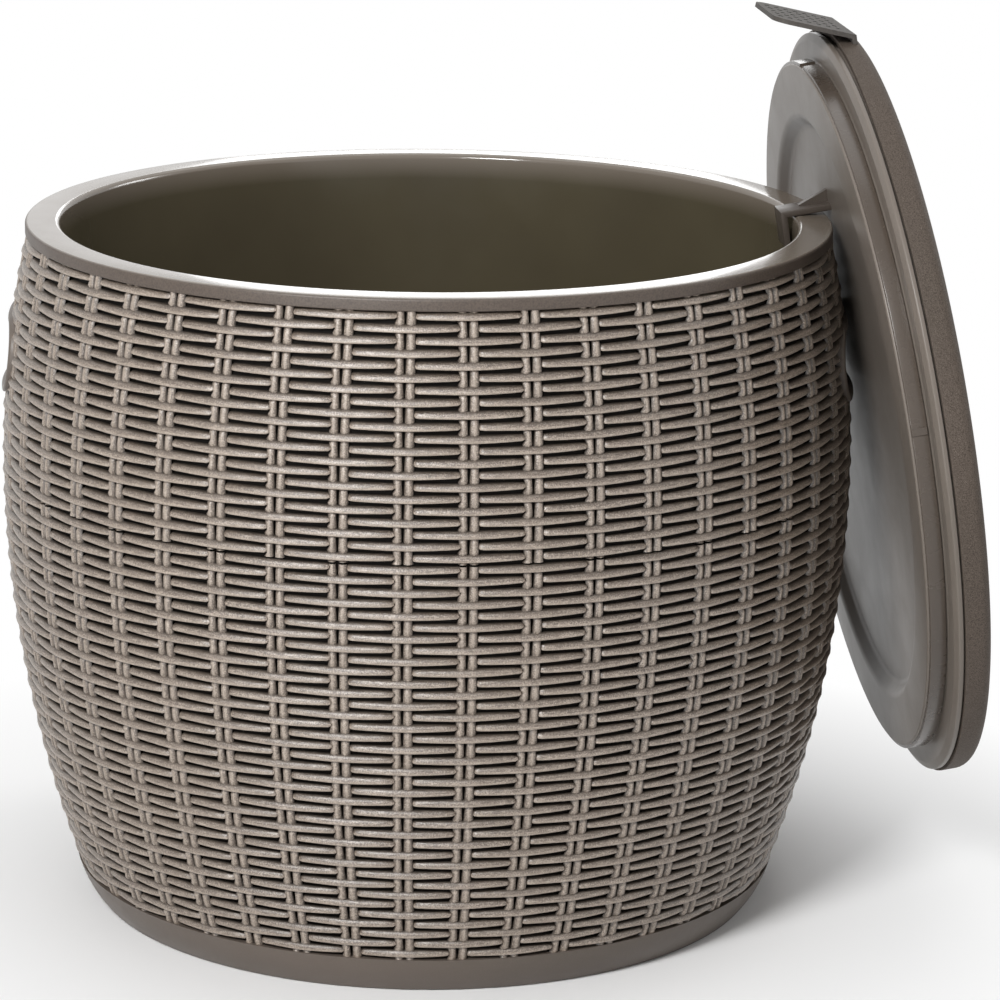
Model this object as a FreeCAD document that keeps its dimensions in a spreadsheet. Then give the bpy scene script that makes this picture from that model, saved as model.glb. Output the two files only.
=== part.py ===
import FreeCAD, Part
import math
import os
import re
import Sketcher

# A barrel-shaped ice bucket that is also a side table. The bucket has a double wall: a wicker-look
# outer shell in two halves, and a liner whose rim closes the top. Its lid hangs beside it by a hook.
# Lengths are in millimetres and angles in degrees. +Z is up, the ground is at z = 0, and the
# bucket's axis is the Z axis. The grips are at +X and -X, and the front is at -Y.

SIZES = {
    # the barrel's outline, over the weave
    "barrel_height": 370.0,
    "rim_radius": 215.0,
    "belly_radius": 229.0,
    "ring_radius": 191.5,
    "foot_radius": 180.5,
    "rim_band": 6.5,
    "seam_height": 239.0,
    "ring_height": 20.0,
    # the outer shell
    "weave_depth": 2.8,
    "shell_wall": 3.0,
    "seam_flange": 13.0,
    "top_ledge": 7.0,
    "stake_count": 44,
    "stake_width": 9.7,
    "stake_phase": -2.13,
    # the base pan
    "foot_width": 4.5,
    "foot_bulge": 50.0,
    "foot_round": 1.5,
    "floor_height": 6.0,
    "floor_wall": 3.0,
    "lip_height": 4.0,
    "lip_wall": 2.5,
    "rib_count": 8,
    "rib_wall": 3.0,
    "rib_inset": 2.0,
    # the liner
    "mouth_radius": 196.5,
    "liner_floor": 60.0,
    "liner_floor_radius": 182.0,
    "liner_wall": 3.0,
    "liner_corner": 12.0,
    "rim_outer_round": 1.6,
    "rim_inner_round": 3.0,
    "rim_lip_wall": 5.0,
    # the grips
    "grip_height": 300.0,
    "grip_length": 100.0,
    "grip_opening": 32.0,
    "grip_depth": 22.0,
    "bezel_width": 4.0,
    "bezel_proud": 1.2,
    "cup_wall": 2.4,
    "cup_flange": 11.0,
    # the screws
    "screw_radius": 2.0,
    "head_radius": 3.8,
    "head_height": 2.6,
    "boss_length": 14.0,
    "boss_width": 10.0,
    "base_screw_circle": 168.0,
    "base_screw_count": 6,
    "shell_screw_count": 6,
    "shell_screw_length": 12.0,
    "cup_screw_spread": 116.0,
    "grip_count": 2,
    "small_screw_radius": 1.4,
    "small_head_radius": 2.8,
    "small_head_height": 1.6,
    "screw_bite": 2.0,
    # the drain
    "spout_radius": 14.0,
    "spout_bore": 11.0,
    "spout_flange_radius": 22.0,
    "spout_flange": 2.5,
    "spout_ground_gap": 3.0,
    "gasket_height": 2.0,
    "nut_height": 8.0,
    "nut_flats": 40.0,
    "plug_stem": 16.0,
    "plug_taper": 0.5,
    "plug_head_radius": 16.0,
    "plug_head": 3.0,
    "plug_grip_width": 18.0,
    "plug_grip_height": 14.0,
    "plug_grip_wall": 3.5,
    "plug_grip_hole": 4.5,
    # the lid
    "lid_radius": 205.0,
    "lid_edge": 14.5,
    "lid_seam": 5.0,
    "lid_seam_gap": 0.5,
    "lid_wall": 2.8,
    "lid_crown": 1.0,
    "lid_edge_round": 6.0,
    "lid_under_inset": 1.4,
    "lid_bevel": 2.0,
    "spigot_height": 4.0,
    "plug_radius": 190.0,
    "plug_height": 11.0,
    "band_wall": 1.6,
    "band_gap": 3.0,
    "band_inset": 1.2,
    "recess_radius": 160.0,
    "recess_depth": 6.0,
    "recess_slope": 6.0,
    "peg_count": 6,
    "peg_circle": 140.0,
    "peg_radius": 4.0,
    "socket_wall": 1.6,
    "socket_height": 5.0,
    # the hook, and how the lid hangs by it
    "hook_drop": 111.0,
    "hook_width": 19.0,
    "hook_wall": 3.6,
    "hook_leg": 16.0,
    "hook_foot": 16.0,
    "hook_foot_wall": 2.5,
    "gusset_length": 16.0,
    "gusset_rise": 7.0,
    "gusset_wall": 4.0,
    "lid_lean": 9.0,
    "lid_turn": 7.0,
    # the pull tab
    "tab_width": 66.0,
    "tab_length": 43.0,
    "tab_wall": 2.4,
    "tab_angle": 21.5,
    "tab_root": 9.0,
    "tab_drop": 3.6,
    "tab_round": 9.0,
    "tab_hole": 2.6,
    "tab_rows": 7,
    "tab_columns": 5,
    "tab_row_pitch": 5.3,
    "tab_column_pitch": 10.0,
    "tab_margin": 6.0,
    # clearances
    "fit": 0.3,
    "running_fit": 0.1,
}

doc = FreeCAD.newDocument("ice_bucket_table")
sheet = doc.addObject("Spreadsheet::Sheet", "Sizes")
for row, (alias, size) in enumerate(SIZES.items(), start=1):
    sheet.set(f"A{row}", alias)
    sheet.set(f"B{row}", str(size))
    sheet.setAlias(f"B{row}", alias)
doc.recompute()


def tied(text):
    """The expression with each size's name tied to its cell."""
    return re.sub(r"[a-z]\w*", lambda m: f"Sizes.{m[0]}" if m[0] in SIZES else m[0], text)


def value(text):
    return float(sheet.evalExpression(tied(text)))


# Places that several pieces share, as expressions on the sizes

RIM_SEAT = "(barrel_height - rim_band)"
LIP_TOP = "(ring_height + lip_height)"
FLOOR_TOP = "(floor_height + floor_wall)"
SEAM_RISE = f"({RIM_SEAT} - seam_height)"
SEAM_FALL = "(seam_height - ring_height)"
UPPER_BULGE = f"(({SEAM_RISE}^2 + (belly_radius - rim_radius)^2) / (2 * (belly_radius - rim_radius)))"
LOWER_BULGE = f"(({SEAM_FALL}^2 + (belly_radius - ring_radius)^2) / (2 * (belly_radius - ring_radius)))"


def barrel(height, depth, bulge):
    """The barrel's radius at a height, this depth under the crest of the weave."""
    return f"(belly_radius - {bulge} + sqrt(({bulge} - {depth})^2 - ({height} - seam_height)^2))"


SKIN = "weave_depth"
INSIDE = "(weave_depth + shell_wall)"
FLANGE_INSIDE = f"({barrel('seam_height', SKIN, LOWER_BULGE)} - seam_flange)"
SHELL_SCREW_CIRCLE = f"({FLANGE_INSIDE} + (seam_flange - shell_wall) / 2)"
CUP_OUTSIDE = f"({INSIDE} + fit)"
CUP_INSIDE = f"({CUP_OUTSIDE} + cup_wall)"
CUP_BACK = f"({barrel('grip_height', '0', UPPER_BULGE)} - grip_depth - cup_wall)"
CUP_FLANGE_LENGTH = "(grip_length + 2 * bezel_width + 2 * cup_flange)"
CUP_FLANGE_HEIGHT = "(grip_opening + 2 * bezel_width + 2 * cup_flange)"
DISC = "(-(plug_height - recess_depth))"
DISC_INSIDE = f"({DISC} + lid_wall)"
LID_TOP_FACE = "(lid_seam + lid_edge)"

# The hung lid leans on the upper bulge, and its hook lies on the rim's inner edge.
LEAN_OUT = (
    f"((belly_radius - {UPPER_BULGE}) * cos(lid_lean) + seam_height * sin(lid_lean)"
    f" + {UPPER_BULGE} + bezel_proud + fit)"
)
OUT = f"({LEAN_OUT} - {DISC})"
UP = (
    "((barrel_height + fit) * cos(lid_lean)"
    " - (mouth_radius + rim_inner_round) * sin(lid_lean) - hook_drop)"
)
LID_REACH = f"({OUT} * cos(lid_lean) - {UP} * sin(lid_lean))"
LID_HEIGHT = f"({OUT} * sin(lid_lean) + {UP} * cos(lid_lean))"
LID_PLACE = (
    f"placement(vector({LID_REACH} * cos(lid_turn); {LID_REACH} * sin(lid_turn); {LID_HEIGHT});"
    " rotation(lid_turn; 90 - lid_lean; 0))"
)


def new_body(label):
    body = doc.addObject("PartDesign::Body", label)
    body.Label = label
    return body


def origin_feature(body, role):
    return next(f for f in body.Origin.OriginFeatures if f.Role == role)


def new_sketch(body, name, plane="XZ_Plane", height=None, turn=None):
    """A sketch on one of the body's own origin planes, height above it, turned about its up axis."""
    sketch = body.newObject("Sketcher::SketchObject", name)
    sketch.AttachmentSupport = (origin_feature(body, plane), [""])
    sketch.MapMode = "FlatFace"
    if turn is not None:
        axis, angle = turn
        sketch.AttachmentOffset = FreeCAD.Placement(
            FreeCAD.Vector(), FreeCAD.Rotation(FreeCAD.Vector(*axis), value(angle))
        )
        sketch.setExpression("AttachmentOffset.Rotation.Angle", tied(angle))
    if height is not None:
        sketch.setExpression("AttachmentOffset.Base.z", tied(height))
    return sketch


def bow(start, end, radius, side):
    """An arc of this radius from start to end that swells towards side."""
    middle = (start + end) * 0.5
    half = (end - start).Length / 2
    across = FreeCAD.Vector(start.y - end.y, end.x - start.x, 0).normalize()
    if across.dot(side) < 0:
        across = across * -1
    rise = radius - math.sqrt(radius**2 - half**2)
    return Part.Arc(start, middle + across * rise, end)


def point_ties(geo, pos, across, up):
    """Constraints, each with its expression, that hold a point at (across, up) from the origin."""
    if across == "0":
        yield Sketcher.Constraint("PointOnObject", geo, pos, -2), None
    else:
        yield Sketcher.Constraint("DistanceX", -1, 1, geo, pos, value(across)), across
    if up == "0":
        yield Sketcher.Constraint("PointOnObject", geo, pos, -1), None
    else:
        yield Sketcher.Constraint("DistanceY", -1, 1, geo, pos, value(up)), up


def add_ties(sketch, ties):
    for constraint, text in ties:
        index = sketch.addConstraint(constraint)
        if text is not None:
            sketch.setExpression(f"Constraints[{index}]", tied(text))


def draw_outline(sketch, corners):
    """A closed outline. A corner is (across, up), or (across, up, radius) where an arc that swells
    away from the axis runs on to the next corner."""
    points = [FreeCAD.Vector(value(c[0]), value(c[1]), 0) for c in corners]
    outward = FreeCAD.Vector(1, 0, 0)
    sides = []
    for i, corner in enumerate(corners):
        start, end = points[i], points[(i + 1) % len(points)]
        if len(corner) == 3:
            curve = bow(start, end, value(corner[2]), outward)
        else:
            curve = Part.LineSegment(start, end)
        sides.append(sketch.addGeometry(curve, False))

    def pos(geo, point):
        return 1 if sketch.getPoint(geo, 1).distanceToPoint(point) < 1e-4 else 2

    ties = []
    for i, corner in enumerate(corners):
        geo, before = sides[i], sides[i - 1]
        here, there = pos(geo, points[i]), pos(before, points[i])
        ties.append((Sketcher.Constraint("Coincident", before, there, geo, here), None))
        ties.extend(point_ties(geo, here, corner[0], corner[1]))
        if len(corner) == 3:
            ties.append((Sketcher.Constraint("Radius", geo, value(corner[2])), corner[2]))
    add_ties(sketch, ties)
    return sketch


def draw_slot(sketch, length, opening, up):
    """A slot with round ends, centred across the origin at this height up."""
    half = f"(({length}) - ({opening})) / 2"
    radius = f"({opening}) / 2"
    x, y, r = value(half), value(up), value(radius)
    normal = FreeCAD.Vector(0, 0, 1)
    right = Part.ArcOfCircle(Part.Circle(FreeCAD.Vector(x, y, 0), normal, r), -math.pi / 2, math.pi / 2)
    left = Part.ArcOfCircle(Part.Circle(FreeCAD.Vector(-x, y, 0), normal, r), math.pi / 2, 3 * math.pi / 2)
    top = Part.LineSegment(FreeCAD.Vector(x, y + r, 0), FreeCAD.Vector(-x, y + r, 0))
    bottom = Part.LineSegment(FreeCAD.Vector(-x, y - r, 0), FreeCAD.Vector(x, y - r, 0))
    a, t, b, u = [sketch.addGeometry(g, False) for g in (right, top, left, bottom)]
    ties = [
        (Sketcher.Constraint("Tangent", a, 2, t, 1), None),
        (Sketcher.Constraint("Tangent", t, 2, b, 1), None),
        (Sketcher.Constraint("Tangent", b, 2, u, 1), None),
        (Sketcher.Constraint("Tangent", u, 2, a, 1), None),
        (Sketcher.Constraint("Equal", a, b), None),
        (Sketcher.Constraint("Radius", a, r), radius),
        (Sketcher.Constraint("DistanceX", -1, 1, a, 3, x), half),
        (Sketcher.Constraint("DistanceY", -1, 1, a, 3, y), up),
        (Sketcher.Constraint("DistanceX", b, 3, -1, 1, x), half),
        (Sketcher.Constraint("DistanceY", -1, 1, b, 3, y), up),
    ]
    add_ties(sketch, ties)
    return sketch


def draw_box(sketch, left, low, right, high):
    return draw_outline(sketch, [(left, low), (right, low), (right, high), (left, high)])


def draw_circle(sketch, across, up, radius):
    centre = FreeCAD.Vector(value(across), value(up), 0)
    circle = Part.Circle(centre, FreeCAD.Vector(0, 0, 1), value(radius))
    geo = sketch.addGeometry(circle, False)
    ties = list(point_ties(geo, 3, across, up))
    ties.append((Sketcher.Constraint("Radius", geo, value(radius)), radius))
    add_ties(sketch, ties)
    return sketch


def turned(body, kind, sketch, angle="360"):
    """A revolution or groove of the sketch about the body's Z axis, centred on the sketch."""
    feature = body.newObject(f"PartDesign::{kind}", kind)
    feature.Profile = sketch
    feature.ReferenceAxis = (origin_feature(body, "Z_Axis"), [""])
    feature.setExpression("Angle", tied(angle))
    if angle != "360":
        feature.Midplane = True
    sketch.Visibility = False
    return feature


def pushed(body, kind, sketch, length=None, middle=False, back=False):
    """A pad or pocket of the sketch: both ways from it, or back against its normal. With no length
    it goes through everything."""
    feature = body.newObject(f"PartDesign::{kind}", kind)
    feature.Profile = sketch
    if length is None:
        feature.Type = "ThroughAll"
    else:
        feature.setExpression("Length", tied(length))
    feature.Midplane = middle
    feature.Reversed = back
    return feature


def ringed(body, feature, count):
    """Copies of the feature round the body's Z axis."""
    pattern = body.newObject("PartDesign::PolarPattern", "PolarPattern")
    pattern.Originals = [feature]
    pattern.Axis = (origin_feature(body, "Z_Axis"), [""])
    pattern.Angle = 360
    pattern.setExpression("Occurrences", tied(count))
    body.Tip = pattern
    return pattern


def rounded(body, rings, radius, kind="Fillet"):
    """Rounds the body's circular edges that have these radii and heights."""
    doc.recompute()
    base = body.Tip
    wanted = [(value(r), value(up)) for r, up in rings]

    def is_wanted(edge):
        curve = edge.Curve
        if not isinstance(curve, Part.Circle):
            return False
        return any(
            abs(curve.Radius - r) < 0.01 and abs(curve.Center.z - up) < 0.01 for r, up in wanted
        )

    names = [f"Edge{i}" for i, edge in enumerate(base.Shape.Edges, start=1) if is_wanted(edge)]
    feature = body.newObject(f"PartDesign::{kind}", kind)
    feature.Base = (base, names)
    feature.setExpression("Radius" if kind == "Fillet" else "Size", tied(radius))
    return feature


def add_stakes(body, low, high, bulge):
    """The double stakes of the weave, as upright ribs from the skin to the weave's crest."""
    root = f"({SKIN} + shell_wall / 2)"
    sketch = new_sketch(body, "stake_outline", turn=((0, 1, 0), "stake_phase"))
    draw_outline(
        sketch,
        [
            (barrel(low, root, bulge), low),
            (barrel(low, "0", bulge), low, bulge),
            (barrel(high, "0", bulge), high),
            (barrel(high, root, bulge), high, f"({bulge} - {root})"),
        ],
    )
    stake = pushed(body, "Pad", sketch, "stake_width", middle=True)
    return ringed(body, stake, "stake_count")


def make_outer_shell_lower():
    body = new_body("outer_shell_lower")
    under_flange = "(seam_height - shell_wall)"
    sketch = new_sketch(body, "wall_outline")
    draw_outline(
        sketch,
        [
            (barrel("ring_height", SKIN, LOWER_BULGE), "ring_height", f"({LOWER_BULGE} - {SKIN})"),
            (barrel("seam_height", SKIN, LOWER_BULGE), "seam_height"),
            (FLANGE_INSIDE, "seam_height"),
            (FLANGE_INSIDE, under_flange),
            (barrel(under_flange, INSIDE, LOWER_BULGE), under_flange, f"({LOWER_BULGE} - {INSIDE})"),
            (barrel("ring_height", INSIDE, LOWER_BULGE), "ring_height"),
        ],
    )
    turned(body, "Revolution", sketch)
    add_stakes(body, "ring_height", "seam_height", LOWER_BULGE)

    boss_top = f"({LIP_TOP} + boss_length)"
    boss = new_sketch(body, "base_boss")
    root = f"({SKIN} + shell_wall / 2)"
    draw_outline(
        boss,
        [
            ("base_screw_circle - boss_width / 2", LIP_TOP),
            (barrel(LIP_TOP, root, LOWER_BULGE), LIP_TOP, f"({LOWER_BULGE} - {root})"),
            (barrel(boss_top, root, LOWER_BULGE), boss_top),
            ("base_screw_circle - boss_width / 2", boss_top),
        ],
    )
    ringed(body, pushed(body, "Pad", boss, "boss_width", middle=True), "base_screw_count")
    hole = new_sketch(body, "base_boss_hole", "XY_Plane", LIP_TOP)
    draw_circle(hole, "base_screw_circle", "0", "screw_radius + running_fit")
    ringed(body, pushed(body, "Pocket", hole, "boss_length", back=True), "base_screw_count")

    flange_boss = new_sketch(body, "seam_boss", "XY_Plane", under_flange)
    draw_circle(flange_boss, SHELL_SCREW_CIRCLE, "0", "(seam_flange - shell_wall) / 2")
    pad = pushed(body, "Pad", flange_boss, "shell_screw_length - shell_wall", back=True)
    ringed(body, pad, "shell_screw_count")
    bore = new_sketch(body, "seam_boss_hole", "XY_Plane", "seam_height")
    draw_circle(bore, SHELL_SCREW_CIRCLE, "0", "screw_radius + running_fit")
    ringed(body, pushed(body, "Pocket", bore, "shell_screw_length"), "shell_screw_count")
    return body


def make_outer_shell_upper():
    body = new_body("outer_shell_upper")
    over_flange = "(seam_height + shell_wall)"
    under_ledge = f"({RIM_SEAT} - shell_wall)"
    ledge_inside = f"({barrel(RIM_SEAT, INSIDE, UPPER_BULGE)} - top_ledge)"
    sketch = new_sketch(body, "wall_outline")
    draw_outline(
        sketch,
        [
            (barrel("seam_height", SKIN, UPPER_BULGE), "seam_height", f"({UPPER_BULGE} - {SKIN})"),
            (barrel(RIM_SEAT, SKIN, UPPER_BULGE), RIM_SEAT),
            (ledge_inside, RIM_SEAT),
            (ledge_inside, under_ledge),
            (barrel(under_ledge, INSIDE, UPPER_BULGE), under_ledge, f"({UPPER_BULGE} - {INSIDE})"),
            (barrel(over_flange, INSIDE, UPPER_BULGE), over_flange),
            (FLANGE_INSIDE, over_flange),
            (FLANGE_INSIDE, "seam_height"),
        ],
    )
    turned(body, "Revolution", sketch)
    add_stakes(body, "seam_height", RIM_SEAT, UPPER_BULGE)

    opening = new_sketch(body, "grip_opening", "YZ_Plane")
    draw_slot(
        opening,
        "grip_length + 2 * bezel_width + 2 * fit",
        "grip_opening + 2 * bezel_width + 2 * fit",
        "grip_height",
    )
    pushed(body, "Pocket", opening, middle=True)

    bore = new_sketch(body, "seam_hole", "XY_Plane", over_flange)
    draw_circle(bore, SHELL_SCREW_CIRCLE, "0", "screw_radius + running_fit")
    ringed(body, pushed(body, "Pocket", bore, "shell_wall"), "shell_screw_count")

    face = f"sqrt({barrel('grip_height', INSIDE, UPPER_BULGE)}^2 - (cup_screw_spread / 2)^2)"
    for end in ("", "0 - "):
        bite = new_sketch(body, "cup_screw_hole", "YZ_Plane", f"{face} - screw_bite")
        draw_circle(bite, f"{end}cup_screw_spread / 2", "grip_height", "small_screw_radius + running_fit")
        ringed(body, pushed(body, "Pocket", bite, "2 * screw_bite", back=True), "grip_count")
    return body


def make_base_pan():
    body = new_body("base_pan")
    lip_outside = f"({barrel('ring_height', INSIDE, LOWER_BULGE)} - fit)"
    lip_inside = f"({lip_outside} - lip_wall)"
    foot_inside = "(foot_radius - foot_width)"
    hole = "(spout_radius + fit)"
    sketch = new_sketch(body, "pan_outline")
    draw_outline(
        sketch,
        [
            ("foot_radius", "0", "foot_bulge"),
            ("ring_radius", "ring_height"),
            (lip_outside, "ring_height"),
            (lip_outside, LIP_TOP),
            (lip_inside, LIP_TOP),
            (lip_inside, FLOOR_TOP),
            (hole, FLOOR_TOP),
            (hole, "floor_height"),
            (foot_inside, "floor_height"),
            (foot_inside, "0"),
        ],
    )
    turned(body, "Revolution", sketch)
    rounded(body, [("foot_radius", "0")], "foot_round")

    rib = new_sketch(body, "floor_rib")
    draw_box(rib, "nut_flats / 2", "rib_inset", f"{foot_inside} + foot_width / 4", "floor_height + floor_wall / 2")
    ringed(body, pushed(body, "Pad", rib, "rib_wall", middle=True), "rib_count")

    half_pitch = "180 / base_screw_count"
    post = new_sketch(body, "screw_post", "XY_Plane", FLOOR_TOP)
    draw_circle(post, "base_screw_circle", "0", "boss_width / 2")
    ringed(body, pushed(body, "Pad", post, f"{LIP_TOP} - {FLOOR_TOP}"), "base_screw_count")
    clear = new_sketch(body, "head_clearance", "XY_Plane", "floor_height")
    draw_circle(clear, "base_screw_circle", "0", "head_radius + fit")
    ringed(body, pushed(body, "Pocket", clear, "floor_height - rib_inset"), "base_screw_count")
    bore = new_sketch(body, "screw_hole", "XY_Plane", LIP_TOP)
    draw_circle(bore, "base_screw_circle", "0", "screw_radius + running_fit")
    ringed(body, pushed(body, "Pocket", bore, f"{LIP_TOP} - floor_height"), "base_screw_count")
    return body


def make_inner_liner():
    body = new_body("inner_liner")
    under_rim = "(barrel_height - liner_wall)"
    under_floor = "(liner_floor - liner_wall)"
    hole = "(spout_radius + fit)"
    sketch = new_sketch(body, "liner_outline")
    draw_outline(
        sketch,
        [
            ("rim_radius", RIM_SEAT),
            ("rim_radius", "barrel_height"),
            ("mouth_radius", "barrel_height"),
            ("liner_floor_radius", "liner_floor"),
            (hole, "liner_floor"),
            (hole, under_floor),
            ("liner_floor_radius + liner_wall", under_floor),
            ("mouth_radius + liner_wall", under_rim),
            ("rim_radius - rim_lip_wall", under_rim),
            ("rim_radius - rim_lip_wall", RIM_SEAT),
        ],
    )
    turned(body, "Revolution", sketch)
    rounded(body, [("rim_radius", "barrel_height")], "rim_outer_round")
    rounded(body, [("mouth_radius", "barrel_height")], "rim_inner_round")
    rounded(body, [("liner_floor_radius", "liner_floor")], "liner_corner")
    rounded(body, [("liner_floor_radius + liner_wall", under_floor)], "liner_corner")
    return body


def make_handle_cup(label, side):
    body = new_body(label)
    outer_length = "grip_length + 2 * bezel_width"
    outer_height = "grip_opening + 2 * bezel_width"
    low = f"(grip_height - {CUP_FLANGE_HEIGHT} / 2)"
    high = f"(grip_height + {CUP_FLANGE_HEIGHT} / 2)"
    spread = f"2 * asin(({CUP_FLANGE_LENGTH} / 2 + bezel_width) / {CUP_BACK})"

    block = new_sketch(body, "cup_outline")
    proud = "(0 - bezel_proud)"
    draw_outline(
        block,
        [
            (CUP_BACK, low),
            (barrel(low, proud, UPPER_BULGE), low, f"({UPPER_BULGE} + bezel_proud)"),
            (barrel(high, proud, UPPER_BULGE), high),
            (CUP_BACK, high),
        ],
    )
    turned(body, "Revolution", block, spread)
    trim = draw_slot(new_sketch(body, "cup_trim", "YZ_Plane"), outer_length, outer_height, "grip_height")
    draw_box(trim, "-2 * grip_length", "0 - grip_length", "2 * grip_length", "2 * barrel_height")
    pushed(body, "Pocket", trim, middle=True)

    flange = new_sketch(body, "flange_outline")
    draw_outline(
        flange,
        [
            (barrel(low, CUP_INSIDE, UPPER_BULGE), low),
            (barrel(low, CUP_OUTSIDE, UPPER_BULGE), low, f"({UPPER_BULGE} - {CUP_OUTSIDE})"),
            (barrel(high, CUP_OUTSIDE, UPPER_BULGE), high),
            (barrel(high, CUP_INSIDE, UPPER_BULGE), high, f"({UPPER_BULGE} - {CUP_INSIDE})"),
        ],
    )
    turned(body, "Revolution", flange, spread)
    edge = draw_slot(new_sketch(body, "flange_trim", "YZ_Plane"), CUP_FLANGE_LENGTH, CUP_FLANGE_HEIGHT, "grip_height")
    draw_box(edge, "-2 * grip_length", "0 - grip_length", "2 * grip_length", "2 * barrel_height")
    pushed(body, "Pocket", edge, middle=True)

    cavity = new_sketch(body, "grip_cavity", "YZ_Plane", f"{CUP_BACK} + cup_wall")
    draw_slot(cavity, "grip_length", "grip_opening", "grip_height")
    pushed(body, "Pocket", cavity, back=True)

    for end in ("", "0 - "):
        screw_hole = new_sketch(body, "cup_screw_hole", "YZ_Plane")
        draw_circle(screw_hole, f"{end}cup_screw_spread / 2", "grip_height", "small_screw_radius + running_fit")
        pushed(body, "Pocket", screw_hole, back=True)
    if side < 0:
        body.Placement = FreeCAD.Placement(FreeCAD.Vector(), FreeCAD.Rotation(FreeCAD.Vector(0, 0, 1), 180))
    return body


def make_drain_fitting():
    body = new_body("drain_fitting")
    sketch = new_sketch(body, "fitting_outline")
    draw_outline(
        sketch,
        [
            ("spout_bore", "spout_ground_gap"),
            ("spout_radius", "spout_ground_gap"),
            ("spout_radius", "liner_floor"),
            ("spout_flange_radius", "liner_floor"),
            ("spout_flange_radius", "liner_floor + spout_flange"),
            ("spout_bore", "liner_floor + spout_flange"),
        ],
    )
    turned(body, "Revolution", sketch)
    rounded(body, [("spout_flange_radius", "liner_floor + spout_flange")], "spout_flange / 3", "Chamfer")
    return body


def make_drain_gasket():
    body = new_body("drain_gasket")
    top = "(liner_floor - liner_wall)"
    sketch = new_sketch(body, "gasket_outline")
    draw_box(sketch, "spout_radius + running_fit", f"{top} - gasket_height", "nut_flats / 2", top)
    turned(body, "Revolution", sketch)
    return body


def make_drain_nut():
    body = new_body("drain_nut")
    top = "(liner_floor - liner_wall - gasket_height)"
    corner = "nut_flats / 2 / cos(30)"
    sketch = new_sketch(body, "nut_outline", "XY_Plane", f"{top} - nut_height")
    draw_outline(
        sketch,
        [
            (f"{corner} * cos({60 * side})", f"{corner} * sin({60 * side})" if side % 3 else "0")
            for side in range(6)
        ],
    )
    pushed(body, "Pad", sketch, "nut_height")
    bore = new_sketch(body, "nut_bore", "XY_Plane", top)
    draw_circle(bore, "0", "0", "spout_radius + running_fit")
    pushed(body, "Pocket", bore, "nut_height")
    return body


def make_drain_plug():
    body = new_body("drain_plug")
    seat = "(liner_floor + spout_flange)"
    head_top = f"({seat} + plug_head)"
    sketch = new_sketch(body, "plug_outline")
    draw_outline(
        sketch,
        [
            ("0", f"{seat} - plug_stem"),
            ("spout_bore - fit - plug_taper", f"{seat} - plug_stem"),
            ("spout_bore - fit", seat),
            ("plug_head_radius", seat),
            ("plug_head_radius", head_top),
            ("0", head_top),
        ],
    )
    turned(body, "Revolution", sketch)
    rounded(body, [("plug_head_radius", head_top)], "plug_head / 3")
    grip = new_sketch(body, "plug_grip")
    high = f"{head_top} + plug_grip_height"
    draw_box(grip, "0 - plug_grip_width / 2", f"{head_top} - plug_head / 2", "plug_grip_width / 2", high)
    pushed(body, "Pad", grip, "plug_grip_wall", middle=True)
    finger = new_sketch(body, "plug_grip_hole")
    draw_circle(finger, "0", f"{head_top} + plug_grip_height / 2", "plug_grip_hole")
    pushed(body, "Pocket", finger, "2 * plug_grip_wall", middle=True)
    return body


def make_lid_top():
    body = new_body("lid_top")
    inside = "(lid_radius - lid_wall)"
    under = f"({LID_TOP_FACE} - lid_wall)"
    sketch = new_sketch(body, "top_outline")
    draw_outline(
        sketch,
        [
            ("lid_radius", "lid_seam"),
            ("lid_radius", LID_TOP_FACE),
            ("0", f"{LID_TOP_FACE} + lid_crown"),
            ("0", f"{under} + lid_crown"),
            (inside, under),
            (inside, "lid_seam"),
        ],
    )
    turned(body, "Revolution", sketch)
    rounded(body, [("lid_radius", LID_TOP_FACE)], "lid_edge_round")
    peg = new_sketch(body, "peg", "XY_Plane", f"{under} + lid_wall / 2")
    draw_circle(peg, "peg_circle", "0", "peg_radius")
    ringed(body, pushed(body, "Pad", peg, f"{under} + lid_wall / 2 - {DISC_INSIDE}", back=True), "peg_count")
    slot = new_sketch(body, "tab_slot", "YZ_Plane", "0 - lid_radius - lid_wall")
    low = f"{LID_TOP_FACE} - tab_drop - tab_wall - fit"
    draw_box(slot, "0 - tab_width / 2 - fit", low, "tab_width / 2 + fit", f"{LID_TOP_FACE} - tab_drop + fit")
    pushed(body, "Pocket", slot, "tab_width / 2", back=True)
    body.setExpression("Placement", tied(LID_PLACE))
    return body


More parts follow.
